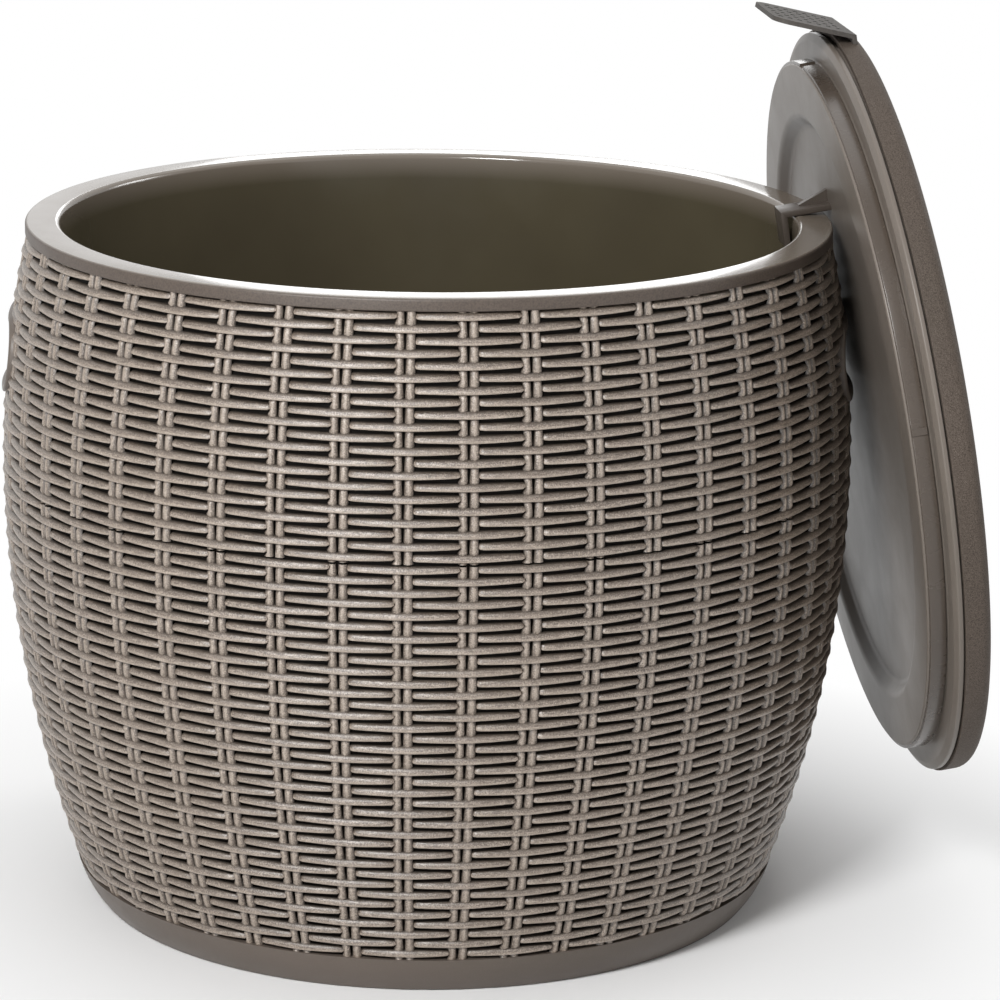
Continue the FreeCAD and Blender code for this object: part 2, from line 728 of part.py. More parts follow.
def make_lid_underside():
    body = new_body("lid_underside")
    edge = "(lid_radius - lid_under_inset)"
    plug = "(plug_radius - band_wall)"
    seam = "(lid_seam - lid_seam_gap)"
    spigot = "(lid_radius - lid_wall - fit)"
    foot = "(recess_radius - recess_slope)"
    sketch = new_sketch(body, "underside_outline")
    draw_outline(
        sketch,
        [
            (edge, "lid_bevel"),
            (edge, seam),
            (spigot, seam),
            (spigot, f"{seam} + spigot_height"),
            (f"{spigot} - lid_wall", f"{seam} + spigot_height"),
            (f"{spigot} - lid_wall", "lid_wall"),
            (f"{plug} - lid_wall", "lid_wall"),
            (f"{plug} - lid_wall", "lid_wall - plug_height"),
            ("recess_radius + lid_wall", "lid_wall - plug_height"),
            (f"{foot} + lid_wall", DISC_INSIDE),
            ("0", DISC_INSIDE),
            ("0", DISC),
            (foot, DISC),
            ("recess_radius", "0 - plug_height"),
            (plug, "0 - plug_height"),
            (plug, "0"),
            (f"{edge} - 2 * lid_bevel", "0"),
        ],
    )
    turned(body, "Revolution", sketch)
    rounded(body, [(foot, DISC)], "recess_slope / 2")
    socket = new_sketch(body, "peg_socket", "XY_Plane", f"{DISC_INSIDE} - lid_wall / 2")
    draw_circle(socket, "peg_circle", "0", "peg_radius + fit + socket_wall")
    draw_circle(socket, "peg_circle", "0", "peg_radius + fit")
    ringed(body, pushed(body, "Pad", socket, "socket_height + lid_wall / 2"), "peg_count")

    slot = new_sketch(body, "hook_slot", "XY_Plane", DISC_INSIDE)
    arm = "0 - hook_drop - hook_wall - fit"
    draw_box(slot, arm, "0 - hook_width / 2 - fit", "0 - hook_drop + fit", "hook_width / 2 + fit")
    pushed(body, "Pocket", slot, "2 * lid_wall")
    for across, up in HOOK_SCREWS:
        bore = new_sketch(body, "hook_screw_hole", "XY_Plane", DISC_INSIDE)
        draw_circle(bore, across, up, "small_screw_radius + running_fit")
        pushed(body, "Pocket", bore, "screw_bite")
    body.setExpression("Placement", tied(LID_PLACE))
    return body


# The hook's four screws stand on both sides of its arm, in the lid's own frame.
HOOK_SCREWS = [
    (f"0 - hook_drop - hook_wall / 2 {along} hook_foot / 2", f"{across} hook_width / 3")
    for along in "+-"
    for across in ("0 +", "0 -")
]


def make_lid_seal_band():
    body = new_body("lid_seal_band")
    sketch = new_sketch(body, "band_outline")
    draw_box(sketch, "plug_radius - band_wall", "band_inset - plug_height", "plug_radius", "0 - band_inset")
    turned(body, "Revolution", sketch)
    gap = new_sketch(body, "band_joint", "YZ_Plane", "0 - plug_radius")
    draw_box(gap, "0 - band_gap / 2", "0 - 2 * plug_height", "band_gap / 2", "plug_height")
    pushed(body, "Pocket", gap, "plug_radius / 2", middle=True)
    body.setExpression("Placement", tied(LID_PLACE))
    return body


def make_lid_hook():
    body = new_body("lid_hook")
    leg_face = (
        "((mouth_radius - hook_width^2 / 8 / mouth_radius"
        " - hook_leg * (mouth_radius - liner_floor_radius) / (barrel_height - liner_floor))"
        f" * cos(lid_lean) + (barrel_height - hook_leg) * sin(lid_lean) - fit * 2 - {OUT})"
    )
    tip = f"({leg_face} - hook_wall)"
    under, over = "(0 - hook_drop)", "(0 - hook_drop - hook_wall)"
    sketch = new_sketch(body, "hook_outline")
    draw_outline(
        sketch,
        [
            (under, DISC_INSIDE),
            (under, leg_face),
            (f"{under} + hook_leg", leg_face),
            (f"{under} + hook_leg", tip),
            (over, tip),
            (over, DISC_INSIDE),
        ],
    )
    pushed(body, "Pad", sketch, "hook_width", middle=True)
    gusset = new_sketch(body, "gusset_outline")
    draw_outline(
        gusset,
        [
            (f"{over} + hook_wall / 2", DISC),
            (f"{over} + hook_wall / 2", f"{DISC} - gusset_length"),
            (over, f"{DISC} - gusset_length"),
            (f"{over} - gusset_rise", DISC),
        ],
    )
    pushed(body, "Pad", gusset, "gusset_wall", middle=True)
    foot = new_sketch(body, "foot_outline", "XY_Plane", DISC_INSIDE)
    middle = "0 - hook_drop - hook_wall / 2"
    draw_box(foot, f"{middle} - hook_foot", "0 - hook_width / 2 - hook_wall", f"{middle} + hook_foot", "hook_width / 2 + hook_wall")
    pushed(body, "Pad", foot, "hook_foot_wall")
    for across, up in HOOK_SCREWS:
        bore = new_sketch(body, "foot_hole", "XY_Plane", DISC_INSIDE)
        draw_circle(bore, across, up, "small_screw_radius + running_fit")
        pushed(body, "Pocket", bore, "hook_foot_wall", back=True)
    body.setExpression("Placement", tied(LID_PLACE))
    return body


def make_lid_tab():
    """A bent plate: a tongue held in the slot of the top shell, and a flap that hangs from it."""
    body = new_body("lid_tab")
    high = f"({LID_TOP_FACE} - tab_drop)"
    low = f"({high} - tab_wall)"
    edge = "(0 - lid_radius - fit)"
    sine, cosine = "sin(tab_angle)", "cos(tab_angle)"
    inner_tip = (f"{edge} - tab_length * {sine}", f"{low} - tab_length * {cosine}")
    outer_tip = (f"{inner_tip[0]} - tab_wall * {cosine}", f"{inner_tip[1]} + tab_wall * {sine}")
    outer_bend = f"{edge} - tab_wall / {cosine} + tab_wall * {sine} / {cosine}"
    sketch = new_sketch(body, "tab_outline")
    draw_outline(
        sketch,
        [
            (f"{edge} + tab_root", high),
            (f"{edge} + tab_root", low),
            (edge, low),
            inner_tip,
            outer_tip,
            (outer_bend, high),
        ],
    )
    pushed(body, "Pad", sketch, "tab_width", middle=True)
    doc.recompute()
    tip_height = value(inner_tip[1])
    corners = [
        f"Edge{i}"
        for i, e in enumerate(body.Tip.Shape.Edges, start=1)
        if e.Length < 1.2 * value("tab_wall") and e.BoundBox.ZMin < tip_height + value("tab_wall")
    ]
    flap = body.Tip
    fillet = body.newObject("PartDesign::Fillet", "Fillet")
    fillet.Base = (flap, corners)
    fillet.setExpression("Radius", tied("tab_round"))

    hole = new_sketch(body, "corner_hole", "YZ_Plane", edge, turn=((1, 0, 0), "tab_angle"))
    hole.setExpression("AttachmentOffset.Base.y", tied(low))
    across = "(0 - (tab_columns - 1) / 2 * tab_column_pitch)"
    up = "(0 - tab_margin - (tab_rows - 1) * tab_row_pitch)"
    draw_box(
        hole,
        f"{across} - tab_hole / 2",
        f"{up} - tab_hole / 2",
        f"{across} + tab_hole / 2",
        f"{up} + tab_hole / 2",
    )
    pocket = pushed(body, "Pocket", hole, "4 * tab_wall", middle=True)
    grid = body.newObject("PartDesign::MultiTransform", "HoleGrid")
    grid.Originals = [pocket]
    steps = []
    for name, axis, count, pitch in (
        ("HoleRows", "V_Axis", "tab_rows", "tab_row_pitch"),
        ("HoleColumns", "H_Axis", "tab_columns", "tab_column_pitch"),
    ):
        pattern = body.newObject("PartDesign::LinearPattern", name)
        pattern.Direction = (hole, [axis])
        pattern.setExpression("Length", tied(f"({count} - 1) * {pitch}"))
        pattern.setExpression("Occurrences", tied(count))
        steps.append(pattern)
    grid.Transformations = steps
    body.Tip = grid
    body.setExpression("Placement", tied(LID_PLACE))
    return body


def screw_shape(radius, length, head_radius, head_height):
    """A screw along +Z with the underside of its head at the origin and its shank below."""
    shank = Part.makeCylinder(radius, length, FreeCAD.Vector(0, 0, -length))
    head = Part.makeCylinder(head_radius, head_height)
    return shank.fuse(head).removeSplitter()


def make_group(label, shapes, placement=None):
    """A node of several alike solids."""
    feature = doc.addObject("Part::Feature", label)
    feature.Label = label
    feature.Shape = Part.makeCompound(shapes)
    if placement is not None:
        feature.Placement = placement
    return feature


def ring_of(shape, radius, height, count):
    for i in range(int(count)):
        turn = FreeCAD.Rotation(FreeCAD.Vector(0, 0, 1), 360 * i / count)
        place = FreeCAD.Placement(turn.multVec(FreeCAD.Vector(radius, 0, height)), turn)
        yield shape.transformed(place.toMatrix())


def make_base_screws():
    length = value(f"{LIP_TOP} + boss_length - floor_height - running_fit")
    screw = screw_shape(value("screw_radius"), length, value("head_radius"), value("head_height"))
    screw = screw.mirror(FreeCAD.Vector(), FreeCAD.Vector(0, 0, 1))
    ring = ring_of(screw, value("base_screw_circle"), value("floor_height"), value("base_screw_count"))
    return make_group("base_screws", list(ring))


def make_shell_screws():
    length = value("shell_wall + shell_screw_length - running_fit")
    screw = screw_shape(value("screw_radius"), length, value("head_radius"), value("head_height"))
    height = value("seam_height + shell_wall")
    ring = ring_of(screw, value(SHELL_SCREW_CIRCLE), height, value("shell_screw_count"))
    return make_group("shell_screws", list(ring))


def make_handle_screws():
    """Two screws for each cup, level and square to the cup's back, from inside the double wall."""
    screw = screw_shape(
        value("small_screw_radius"),
        value("cup_wall + screw_bite"),
        value("small_head_radius"),
        value("small_head_height"),
    )
    reach = value(barrel("grip_height", CUP_INSIDE, UPPER_BULGE))
    spread = value("cup_screw_spread") / 2
    across = math.sqrt(reach**2 - spread**2)
    level = FreeCAD.Rotation(FreeCAD.Vector(0, 1, 0), -90)
    shapes = []
    for half_turn in (0, 180):
        turn = FreeCAD.Rotation(FreeCAD.Vector(0, 0, 1), half_turn)
        for end in (-spread, spread):
            spot = turn.multVec(FreeCAD.Vector(across - value("small_head_height") / 2, end, value("grip_height")))
            shapes.append(screw.transformed(FreeCAD.Placement(spot, turn * level).toMatrix()))
    return make_group("handle_screws", shapes)


def make_hook_screws():
    screw = screw_shape(
        value("small_screw_radius"),
        value("hook_foot_wall + screw_bite"),
        value("small_head_radius"),
        value("small_head_height"),
    )
    height = value(f"{DISC_INSIDE} + hook_foot_wall")
    spots = [FreeCAD.Vector(value(across), value(up), height) for across, up in HOOK_SCREWS]
    shapes = [screw.translated(spot) for spot in spots]
    return make_group("hook_screws", shapes, doc.getObject("lid_hook").Placement)


pieces = [
    make_base_pan(),
    make_outer_shell_lower(),
    make_outer_shell_upper(),
    make_inner_liner(),
    make_handle_cup("handle_cup_right", 1),
    make_handle_cup("handle_cup_left", -1),
    make_drain_fitting(),
    make_drain_gasket(),
    make_drain_nut(),
    make_drain_plug(),
    make_lid_top(),
    make_lid_underside(),
    make_lid_seal_band(),
    make_lid_hook(),
    make_lid_tab(),
]
doc.recompute()
pieces += [make_base_screws(), make_shell_screws(), make_handle_screws(), make_hook_screws()]
doc.recompute()

for feature in doc.Objects:
    if {"Invalid", "Error"} & set(feature.State):
        raise RuntimeError(f"{feature.Name} failed: {feature.State}")
for piece in pieces:
    if piece.Shape.isNull() or not piece.Shape.isValid():
        raise RuntimeError(f"{piece.Label} has no valid shape")

os.makedirs("parts", exist_ok=True)
for piece in pieces:
    piece.Shape.exportStep(f"parts/{piece.Label}.step")
    print(piece.Label, round(piece.Shape.Volume / 1000, 1), "cm3")
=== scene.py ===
import math
import random

import bmesh
import bpy
from mathutils import Matrix, Vector


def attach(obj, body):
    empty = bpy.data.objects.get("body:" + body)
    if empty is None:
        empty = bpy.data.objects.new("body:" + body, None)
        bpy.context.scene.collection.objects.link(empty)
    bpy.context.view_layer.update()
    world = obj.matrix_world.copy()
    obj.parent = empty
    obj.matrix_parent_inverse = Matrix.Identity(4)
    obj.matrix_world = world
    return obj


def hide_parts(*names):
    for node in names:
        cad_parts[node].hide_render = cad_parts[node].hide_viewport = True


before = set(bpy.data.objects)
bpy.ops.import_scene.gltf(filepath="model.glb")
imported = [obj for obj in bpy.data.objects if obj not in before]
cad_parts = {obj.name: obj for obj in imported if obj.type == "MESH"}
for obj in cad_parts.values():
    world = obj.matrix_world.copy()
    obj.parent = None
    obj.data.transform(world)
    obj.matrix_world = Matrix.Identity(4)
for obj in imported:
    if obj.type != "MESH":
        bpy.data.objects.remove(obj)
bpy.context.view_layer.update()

# Lengths are written in millimetres and become metres when a piece is finished.
MM = 0.001
FIT = 0.3
SEAM_GAP = 0.5
Z_AXIS = (0, 0, 1)

# The barrel's outline over the weave, as in the CAD model
BARREL_HEIGHT = 370.0
RIM_RADIUS = 215.0
BELLY_RADIUS = 229.0
RING_RADIUS = 191.5
RIM_SEAT = 363.5
SEAM_HEIGHT = 239.0
RING_HEIGHT = 20.0

# The weave, with its rows counted in the photograph
STAKE_PAIRS = 44
STAKE_STEP = math.tau / STAKE_PAIRS
STAKE_PHASE = math.radians(-2.13)
ROWS_ABOVE_SEAM = 21
ROWS = 58
ROW_PITCH = (RIM_SEAT - RING_HEIGHT) / ROWS
WEAVE_SHARP = 80.0
STAKE_SEED = 7

# A stake: a bar with a round face that dives under each strand and swells between them
STAKE_SPREAD = 2.8
STAKE_HALF_WIDTH = 2.4
STAKE_SWELL = 0.08
STAKE_SINK = 0.9
STAKE_DIVE = 1.9
STAKE_SWING = math.radians(96.0)
STAKE_ROUND = 0.75
STAKE_NOTCH = 1.75
# Painted shade on a stake where a strand passes over it
STAKE_SHADE = 0.3
STAKE_ROW_FACES = 3
STAKE_FACES = 4

# How far a strand's two ends go under the neighbouring stakes' edges
STRAND_LEFT_TUCK = 0.2
STRAND_RIGHT_TUCK = 1.1

# The ground behind the weave
GROUND_DEPTH = 4.2
GROUND_LIP = 12.0
GROUND_BANDS = 24
GROUND_STEPS = 8 * STAKE_PAIRS

# The grips
GRIP_HEIGHT = 300.0
GRIP_LENGTH = 100.0
GRIP_OPENING = 32.0
GRIP_STRAIGHT = (GRIP_LENGTH - GRIP_OPENING) / 2
GRIP_FLOOR = 203.7
GRIP_END_FACES = 64
GRIP_SIDE_CUTS = 20
BEZEL_WIDTH = 4.0
BEZEL_PROUD = 1.2
BEZEL_COVER = 3.2
BEZEL_SKIRT = 3.2

# The liner
MOUTH_RADIUS = 196.5
RIM_LIP_WALL = 5.0
RIM_LOWER_ROUND = 0.6
RIM_OUTER_ROUND = 1.6
RIM_INNER_ROUND = 3.0
LINER_FLOOR = 60.0
LINER_FLOOR_RADIUS = 182.0
LINER_CORNER = 12.0
LINER_WALL = 3.0
DRAIN_HOLE = 14.3

# The lid
LID_RADIUS = 205.0
LID_SEAM = 5.0
LID_TOP_FACE = 19.5
LID_CROWN = 1.0
LID_EDGE_ROUND = 6.0
LID_LIP_ROUND = 0.6
LID_WALL = 2.8
UNDER_RADIUS = LID_RADIUS - 1.4
UNDER_BEVEL = 2.0
UNDER_BEVEL_WIDTH = 4.0
UNDER_TOP = LID_SEAM - SEAM_GAP
SPIGOT_HEIGHT = 4.0
PLUG_RADIUS = 190.0
PLUG_HEIGHT = 11.0
RECESS_DEPTH = 6.0
RECESS_RADIUS = 160.0
RECESS_SLOPE = 6.0
DISC = -(PLUG_HEIGHT - RECESS_DEPTH)
BAND_WALL = 1.6
BAND_INSET = 1.2
BAND_GAP_REACH = 0.0123
BAND_PATCH = math.radians(-81.0)
BAND_PATCH_DENT = 0.5

# The seam of the lid opens a little beside the tab
TAB_WEDGE = 1.9
TAB_WEDGE_REACH = 0.34
TAB_WEDGE_TOP = LID_SEAM + 1.0

# The walls of the tab's holes are islands of faces smaller than this, in metres
HOLE_REACH = 0.006
HOLE_FOLD = math.radians(50)

# The hook
HOOK_DROP = 111.0
HOOK_WIDTH = 19.0
HOOK_WALL = 3.6
HOOK_LEG = 16.0
HOOK_ROOT = 1.0
HOOK_EDGE_ROUND = 0.7
GUSSET_LENGTH = 16.0
GUSSET_RISE = 7.0
GUSSET_TIP = 0.6
GUSSET_WALL = 4.0

LID_LEAN = math.radians(9.0)
LID_TURN = math.radians(7.0)


def arc_radius(height, end_radius):
    """The radius of the arc from the belly to a radius at this height away from it."""
    rise = BELLY_RADIUS - end_radius
    return (height**2 + rise**2) / (2 * rise)


UPPER_ARC = arc_radius(RIM_SEAT - SEAM_HEIGHT, RIM_RADIUS)
LOWER_ARC = arc_radius(SEAM_HEIGHT - RING_HEIGHT, RING_RADIUS)


def barrel_radius(height):
    """The weave's crest at this height."""
    arc = UPPER_ARC if height > SEAM_HEIGHT else LOWER_ARC
    return BELLY_RADIUS - arc + math.sqrt(arc**2 - (height - SEAM_HEIGHT) ** 2)


# How the lid hangs: it leans on the upper bulge and its hook lies on the rim's inner edge.
lean_sin, lean_cos = math.sin(LID_LEAN), math.cos(LID_LEAN)
bulge_out = (BELLY_RADIUS - UPPER_ARC) * lean_cos + SEAM_HEIGHT * lean_sin + UPPER_ARC
OUT = bulge_out + BEZEL_PROUD + FIT - DISC
UP = (
    (BARREL_HEIGHT + FIT) * lean_cos - (MOUTH_RADIUS + RIM_INNER_ROUND) * lean_sin - HOOK_DROP
)
lid_reach = OUT * lean_cos - UP * lean_sin
lid_height = OUT * lean_sin + UP * lean_cos
LID_PLACE = (
    Matrix.Translation(
        (lid_reach * math.cos(LID_TURN), lid_reach * math.sin(LID_TURN), lid_height)
    )
    @ Matrix.Rotation(LID_TURN, 4, "Z")
    @ Matrix.Rotation(math.pi / 2 - LID_LEAN, 4, "Y")
)


# Mesh helpers


def finish_piece(bm, name, body, material, replaces=(), place=None, sharp=35.0):
    """Turns a mesh in millimetres into a piece of the object."""
    if place is not None:
        bm.transform(place)
    bm.transform(Matrix.Scale(MM, 4))
    bm.normal_update()
    for face in bm.faces:
        face.smooth = True
    for edge in bm.edges:
        if edge.is_manifold and edge.calc_face_angle(0.0) > math.radians(sharp):
            edge.smooth = False
    mesh = bpy.data.meshes.new(name)
    bm.to_mesh(mesh)
    bm.free()
    mesh.materials.append(material)
    piece = bpy.data.objects.new(name, mesh)
    bpy.context.scene.collection.objects.link(piece)
    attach(piece, body)
    if replaces:
        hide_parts(*replaces)


def hang_piece(bm, name, material, node):
    """Finishes a piece of the lid that was drawn lying flat."""
    finish_piece(bm, name, "lid", material, [node], place=LID_PLACE)


def eased(corners, steps):
    """The outline with each corner that has a radius turned into a short arc. A corner is
    (across, up) or (across, up, radius)."""
    points = []
    for i, corner in enumerate(corners):
        here = Vector(corner[:2])
        if len(corner) == 2:
            points.append(here)
            continue
        before = (Vector(corners[i - 1][:2]) - here).normalized()
        after = (Vector(corners[(i + 1) % len(corners)][:2]) - here).normalized()
        half = before.angle(after) / 2
        run = corner[2] / math.tan(half)
        centre = here + (before + after).normalized() * (corner[2] / math.sin(half))
        start, end = here + before * run - centre, here + after * run - centre
        turn = start.angle_signed(end)
        for step in range(steps + 1):
            points.append(centre + Matrix.Rotation(-turn * step / steps, 2) @ start)
    return points


def lathe(outline, steps=256, closed=True):
    """Turns an outline of (radius, height) points once round the Z axis."""
    bm = bmesh.new()
    ring = [bm.verts.new((point[0], 0.0, point[1])) for point in outline]
    for first, second in zip(ring, ring[1:]):
        bm.edges.new((first, second))
    if closed:
        bm.edges.new((ring[-1], ring[0]))
    bmesh.ops.spin(
        bm,
        geom=bm.verts[:] + bm.edges[:],
        cent=(0, 0, 0),
        axis=Z_AXIS,
        angle=math.tau,
        steps=steps,
        use_merge=True,
    )
    bmesh.ops.remove_doubles(bm, verts=bm.verts, dist=1e-4)
    on_axis = [edge for edge in bm.edges if edge.is_wire]
    bmesh.ops.delete(bm, geom=on_axis, context="EDGES")
    bmesh.ops.recalc_face_normals(bm, faces=bm.faces)
    return bm


def repeat_round(bm, start):
    """Copies what was made from this vertex on to every second pair of stakes."""
    bm.verts.ensure_lookup_table()
    own = bm.verts[start:]
    faces = list({face for vert in own for face in vert.link_faces})
    bmesh.ops.spin(
        bm,
        geom=own + faces + list({edge for face in faces for edge in face.edges}),
        cent=(0, 0, 0),
        axis=Z_AXIS,
        angle=math.tau - 2 * STAKE_STEP,
        steps=STAKE_PAIRS // 2 - 1,
        use_duplicate=True,
    )


def add_plate(bm, outline, width):
    """A plate with this outline of (x, z) points, centred across y."""
    face = bm.faces.new([bm.verts.new((x, -width / 2, z)) for x, z in outline])
    made = bmesh.ops.extrude_face_region(bm, geom=[face])["geom"]
    far = [part for part in made if isinstance(part, bmesh.types.BMVert)]
    bmesh.ops.translate(bm, vec=(0, width, 0), verts=far)
    bmesh.ops.recalc_face_normals(bm, faces=bm.faces)


# Materials


class Value:
    """A shader socket that takes part in sums."""

    def __init__(self, nodes, socket):
        self.nodes = nodes
        self.socket = socket

    def maths(self, operation, other):
        made = self.nodes.node("ShaderNodeMath", {"operation": operation}, Value=[self, other])
        return made["Value"]

    def __add__(self, other):
        return self.maths("ADD", other)

    def __mul__(self, other):
        return self.maths("MULTIPLY", other)

    __radd__ = __add__
    __rmul__ = __mul__


class Nodes:
    """The nodes of a material or of the world."""

    def __init__(self, tree):
        self.tree = tree

    def node(self, kind, settings=None, **sockets):
        """Any node: its settings first, then the values or links of its sockets by name. A list
        fills the sockets that share a name."""
        made = self.tree.nodes.new(kind)
        for key, value in (settings or {}).items():
            setattr(made, key, value)
        for key, value in sockets.items():
            named = [s for s in made.inputs if s.enabled and s.name == key.replace("_", " ")]
            for socket, each in zip(named, value if isinstance(value, list) else [value]):
                if isinstance(each, Value):
                    self.tree.links.new(each.socket, socket)
                else:
                    socket.default_value = each
        return {s.name: Value(self, s) for s in made.outputs if s.enabled}

    def seen_ray(self):
        """1 for the rays that show the surroundings, and 0 for those that light the object."""
        ray = self.node("ShaderNodeLightPath")
        return ray["Is Camera Ray"] + ray["Is Glossy Ray"] + ray["Is Transmission Ray"]


class Finish(Nodes):
    """A material under construction, with the object's own coordinates at hand."""

    def __init__(self, name, **shader):
        self.material = bpy.data.materials.new(name)
        self.material.use_nodes = True
        super().__init__(self.material.node_tree)
        self.shader = self.tree.nodes["Principled BSDF"]
        for key, value in shader.items():
            self.shader.inputs[key.replace("_", " ")].default_value = value
        self.place = self.node("ShaderNodeTexCoord")["Object"]

    def length(self, vector):
        return self.node("ShaderNodeVectorMath", {"operation": "LENGTH"}, Vector=vector)["Value"]

    def height(self):
        return self.node("ShaderNodeSeparateXYZ", Vector=self.place)["Z"]

    def attribute(self, name):
        return self.node("ShaderNodeAttribute", {"attribute_name": name})["Fac"]

    def stretched(self, x, y, z):
        return self.node("ShaderNodeMapping", Vector=self.place, Scale=(x, y, z))["Vector"]

    def noise(self, scale, detail=2.0, roughness=0.5, place=None, distortion=0.0):
        """Noise whose grains are 1 / scale metres apart."""
        return self.node(
            "ShaderNodeTexNoise",
            Vector=place or self.place,
            Scale=scale,
            Detail=detail,
            Roughness=roughness,
            Distortion=distortion,
        )["Fac"]

    def fitted(self, value, low, high, to_low=0.0, to_high=1.0):
        """The value with its range from low to high fitted to another range."""
        return self.node(
            "ShaderNodeMapRange",
            Value=value,
            From_Min=low,
            From_Max=high,
            To_Min=to_low,
            To_Max=to_high,
        )["Result"]

    def mix(self, share, first, second):
        colours = {"Factor": share, "A": first, "B": second}
        return self.node("ShaderNodeMix", {"data_type": "RGBA"}, **colours)["Result"]

    def bump(self, height, distance, strength, under=None):
        """Relief this many millimetres high, laid over another one."""
        sockets = {"Height": height, "Distance": distance * MM, "Strength": strength}
        if under is not None:
            sockets["Normal"] = under
        return self.node("ShaderNodeBump", **sockets)["Normal"]

    def set(self, **sockets):
        """Links the values to the shader and gives back the material."""
        for key, value in sockets.items():
            self.tree.links.new(value.socket, self.shader.inputs[key.replace("_", " ")])
        return self.material


def colour(red, green, blue):
    """A colour as it shows on a screen, 0 to 255, as the linear values a shader takes."""

    def linear(part):
        part /= 255
        return part / 12.92 if part <= 0.04045 else ((part + 0.055) / 1.055) ** 2.4

    return (linear(red), linear(green), linear(blue), 1.0)


def woven_plastic(name, fibre_scale, base):
    """Satin moulded plastic with fine lengthwise fibres, painted shade in the hollows and a
    painted highlight on the crests. The attribute lift is the painted light, 0 deep in the weave
    and 1 on its crests, and tone differs by strand."""
    finish = Finish(name, IOR=1.5, Specular_IOR_Level=0.85)
    lift = finish.attribute("lift")
    tone = finish.attribute("tone")
    blotch = finish.noise(9.0, 3.0)
    fibres = finish.noise(1.0, 3.0, 0.6, place=finish.stretched(*fibre_scale))
    grain = finish.noise(1500.0, 2.0, 0.6)
    dark_fibre = finish.fitted(fibres, 0.5, 0.68, 0.0, 0.9)
    pale_fibre = finish.fitted(fibres, 0.5, 0.32, 0.0, 0.8)
    dark_speck = finish.fitted(grain, 0.5, 0.64, 0.0, 0.75)
    pale_speck = finish.fitted(grain, 0.48, 0.35, 0.0, 0.65)
    shown = finish.mix(dark_fibre, base, colour(78, 67, 58))
    shown = finish.mix(pale_fibre, shown, colour(162, 149, 136))
    shown = finish.mix(dark_speck, shown, colour(56, 46, 38))
    shown = finish.mix(pale_speck, shown, colour(187, 174, 161))
    shown = finish.mix(tone * 0.3, shown, colour(100, 87, 75))
    # Painted shade: near-black where the painted light is low, deep in the weave, on the top of
    # each strand and on the stakes' sides
    shown = finish.mix(finish.fitted(lift, 0.15, 0.92), colour(20, 16, 13), shown)
    # Painted highlight: paler where the painted light is high, on the crests and the strands'
    # lower edges
    shown = finish.mix(finish.fitted(lift, 0.8, 1.0, 0.0, 0.5), shown, colour(172, 159, 146))
    shown = finish.mix(finish.fitted(blotch, 0.35, 0.7, 0.0, 0.12), shown, colour(136, 123, 110))
    return finish.set(
        Base_Color=shown,
        Roughness=finish.fitted(grain + fibres * 0.6, 0.4, 1.2, 0.28, 0.44),
        Normal=finish.bump(grain, 0.22, 0.8, under=finish.bump(fibres, 0.3, 0.8)),
    )


def painted_shade_plastic():
    """The ground behind the strands, painted near-black as shade."""
    finish = Finish("painted_shade_plastic", IOR=1.5, Specular_IOR_Level=0.1)
    blotch = finish.noise(60.0, 3.0)
    return finish.set(
        Base_Color=finish.mix(blotch, colour(6, 4, 3), colour(14, 11, 8)),
        Roughness=finish.fitted(blotch, 0.3, 0.7, 0.55, 0.75),
    )


def smooth_plastic(name, base, dark, pale, rough, gloss):
    """Moulded plastic: faint cloudiness, fine grain, and handling marks in its gloss."""
    finish = Finish(name, IOR=1.5, Specular_IOR_Level=gloss)
    cloud = finish.fitted(finish.noise(7.0, 4.0), 0.35, 0.65)
    grain = finish.noise(1400.0, 2.0)
    marks = finish.noise(38.0, 5.0, 0.65, distortion=0.4)
    clouded = finish.mix(cloud, colour(*base), colour(*dark))
    return finish.set(
        Base_Color=finish.mix(finish.fitted(grain, 0.5, 0.85, 0.0, 0.35), clouded, colour(*pale)),
        Roughness=finish.fitted(marks, 0.35, 0.75, *rough),
        Normal=finish.bump(grain, 0.03, 0.5),
    )


def liner_plastic():
    """Olive brown and polished, with a satin outer band under the rim's edge, and the rim's top
    painted paler and greyer as a painted reflection.
    """
    finish = Finish("liner_plastic", IOR=1.5)
    radius = finish.length(finish.stretched(1.0, 1.0, 0.0))
    outer = finish.fitted(radius, (RIM_RADIUS - 1.2) * MM, (RIM_RADIUS - 0.4) * MM)
    crest = finish.fitted(finish.height(), (BARREL_HEIGHT - 14) * MM, (BARREL_HEIGHT - 2) * MM)
    cloud = finish.fitted(finish.noise(7.0, 4.0), 0.35, 0.65)
    marks = finish.noise(30.0, 5.0, 0.65, distortion=0.4)
    grain = finish.noise(1100.0, 2.0)
    polished = finish.mix(cloud, colour(76, 70, 55), colour(66, 60, 47))
    # Painted reflection: the top of the rim paler and greyer than the rest of the liner
    rim = finish.mix(crest, polished, colour(112, 103, 93))
    satin = finish.mix(finish.fitted(grain, 0.4, 0.7), colour(78, 68, 60), colour(60, 51, 45))
    return finish.set(
        Base_Color=finish.mix(outer, rim, satin),
        Roughness=finish.fitted(marks, 0.35, 0.75, 0.12, 0.2) + outer * 0.32,
        Normal=finish.bump(grain * outer, 0.08, 0.5),
    )


def grained_plastic():
    """The table top: matt brown plastic with a stippled grain."""
    finish = Finish("grained_plastic", IOR=1.45, Specular_IOR_Level=0.25)
    stipple = finish.noise(1500.0, 3.0, 0.6)
    fine = finish.noise(2400.0, 2.0)
    cloud = finish.fitted(finish.noise(8.0, 3.0), 0.35, 0.65)
    base = finish.mix(cloud, colour(80, 71, 64), colour(73, 65, 58))
    spots = finish.fitted(stipple, 0.45, 0.63, 0.0, 0.85)
    specks = finish.fitted(fine, 0.52, 0.7, 0.0, 0.5)
    spotted = finish.mix(spots, base, colour(54, 46, 40))
    return finish.set(
        Base_Color=finish.mix(specks, spotted, colour(114, 104, 95)),
        Roughness=finish.fitted(stipple, 0.3, 0.7, 0.6, 0.75),
        Normal=finish.bump(fine, 0.08, 0.5, under=finish.bump(stipple, 0.2, 0.6)),
    )


